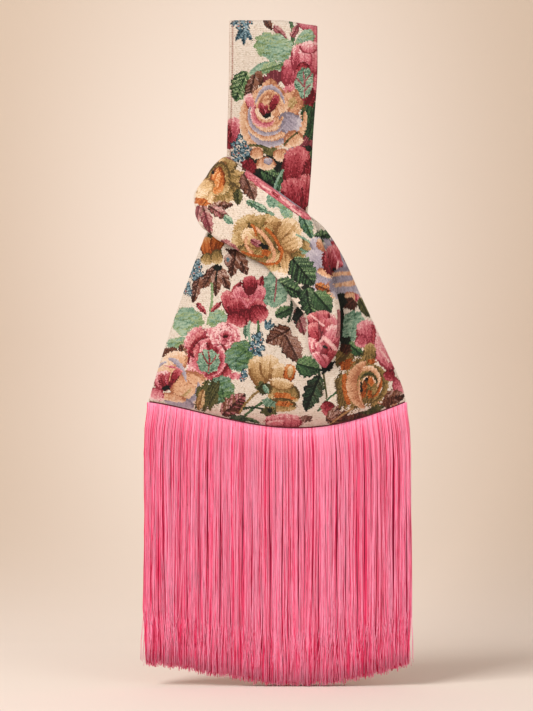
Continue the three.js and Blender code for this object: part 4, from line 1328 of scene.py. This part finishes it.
# The room
# A plain warm backdrop that curves up behind the bag: a pale floor, and a pool of light painted on the wall,
# brightest beside the bag; and soft studio light from the upper left.
WALL_AWAY, WALL_HIGH, FLOOR_NEAR, BEND = 0.75, 2.6, 1.6, 0.35
ROOM_HALF, BEND_STEPS = 3, 12
LIT_WALL, DIM_WALL, LIT_FLOOR = "e2d6cc", "c0ad9b", "e4d8ce"
room_floor = floor_level * MM
room = bmesh.new()
profile = [Vector((-ROOM_HALF, -FLOOR_NEAR, room_floor)),
           Vector((-ROOM_HALF, WALL_AWAY - BEND, room_floor))]
for step in range(1, BEND_STEPS + 1):
    angle = math.pi / 2 * step / BEND_STEPS
    profile.append(Vector((-ROOM_HALF, WALL_AWAY - BEND + BEND * math.sin(angle),
                           room_floor + BEND * (1 - math.cos(angle)))))
profile.append(Vector((-ROOM_HALF, WALL_AWAY, room_floor + WALL_HIGH)))
line = [room.verts.new(point) for point in profile]
edges = [room.edges.new(pair) for pair in zip(line, line[1:])]
wide = bmesh.ops.extrude_edge_only(room, edges=edges)
moved = [item for item in wide["geom"] if isinstance(item, bmesh.types.BMVert)]
bmesh.ops.translate(room, verts=moved, vec=(2 * ROOM_HALF, 0, 0))
bmesh.ops.recalc_face_normals(room, faces=room.faces)
backdrop_mesh = bpy.data.meshes.new("backdrop")
room.to_mesh(backdrop_mesh)
room.free()
backdrop_mesh.shade_smooth()
backdrop = new_object("backdrop", backdrop_mesh)
paper, paper_tree, paper_shader = new_material("warm_paper", 0.9, 0.1)
paper_place = add_node(paper_tree, "TexCoord")
painted_light_pool = add_node(paper_tree, "Mapping", Location=(0.03, 0, 0.22), Scale=(1.8, 0, 1))
distance = add_node(paper_tree, "VectorMath", {"operation": "LENGTH"})
falloff = colour_ramp(paper_tree, (0, LIT_WALL), (0.8, DIM_WALL))
falloff.color_ramp.interpolation = "EASE"
away = add_node(paper_tree, "SeparateXYZ")
away_share = add_node(paper_tree, "MapRange", {"interpolation_type": "SMOOTHSTEP"},
                      From_Min=0.35, From_Max=0.72)
over_floor = add_node(paper_tree, "Mix", {"data_type": "RGBA"}, A=(*linear(LIT_FLOOR), 1))
join(paper_tree, (paper_place, "Object", painted_light_pool, "Vector"), (painted_light_pool, "Vector", distance, 0),
     (distance, "Value", falloff, "Fac"), (paper_place, "Object", away, "Vector"),
     (away, "Y", away_share, "Value"), (away_share, "Result", over_floor, "Factor"),
     (falloff, "Color", over_floor, "B"), (over_floor, "Result", paper_shader, "Base Color"))
backdrop_mesh.materials.append(paper)


def soft_light(name, place, target, size, power, colour):
    data = bpy.data.lights.new(name, "AREA")
    data.shape = "RECTANGLE"
    data.size, data.size_y = size
    data.energy = power
    data.color = colour
    light = new_object(name, data)
    light.location = place
    light.rotation_euler = (Vector(target) - Vector(place)).to_track_quat("-Z", "Y").to_euler()


soft_light("key", (-2.4, -2.5, 2.0), (0, 0, -0.35), (2.2, 2.2), 176, (1.0, 0.985, 0.965))
soft_light("fill", (1.8, -2.2, 0.0), (0, 0, -0.4), (1.6, 1.6), 26, (1.0, 0.96, 0.92))
world = bpy.data.worlds.new("pale_room")
bpy.context.scene.world = world
world.use_nodes = True
world.node_tree.nodes["Background"].inputs["Color"].default_value = (1.0, 0.97, 0.94, 1)
world.node_tree.nodes["Background"].inputs["Strength"].default_value = 0.45
bpy.context.scene.view_settings.view_transform = "Standard"

# The camera
# It looks straight on through a long lens, from the middle of the bag's height. A millimetre at the
# bag's plane is one pixel of the view, so the charts above can be laid over it.
VIEW_WIDE, VIEW_TALL = 533, 711
CAMERA_AWAY, SENSOR = 2.6, 36
camera_data = bpy.data.cameras.new("camera")
camera_data.sensor_fit = "AUTO"
camera_data.sensor_width = SENSOR
camera_data.lens = SENSOR * CAMERA_AWAY / (VIEW_TALL * MM)
camera = new_object("camera", camera_data)
camera.location = ((CHART_LEFT + VIEW_WIDE / 2) * MM, -CAMERA_AWAY, (CHART_TOP - VIEW_TALL / 2) * MM)
camera.rotation_euler = (math.pi / 2, 0, 0)
bpy.context.scene.camera = camera
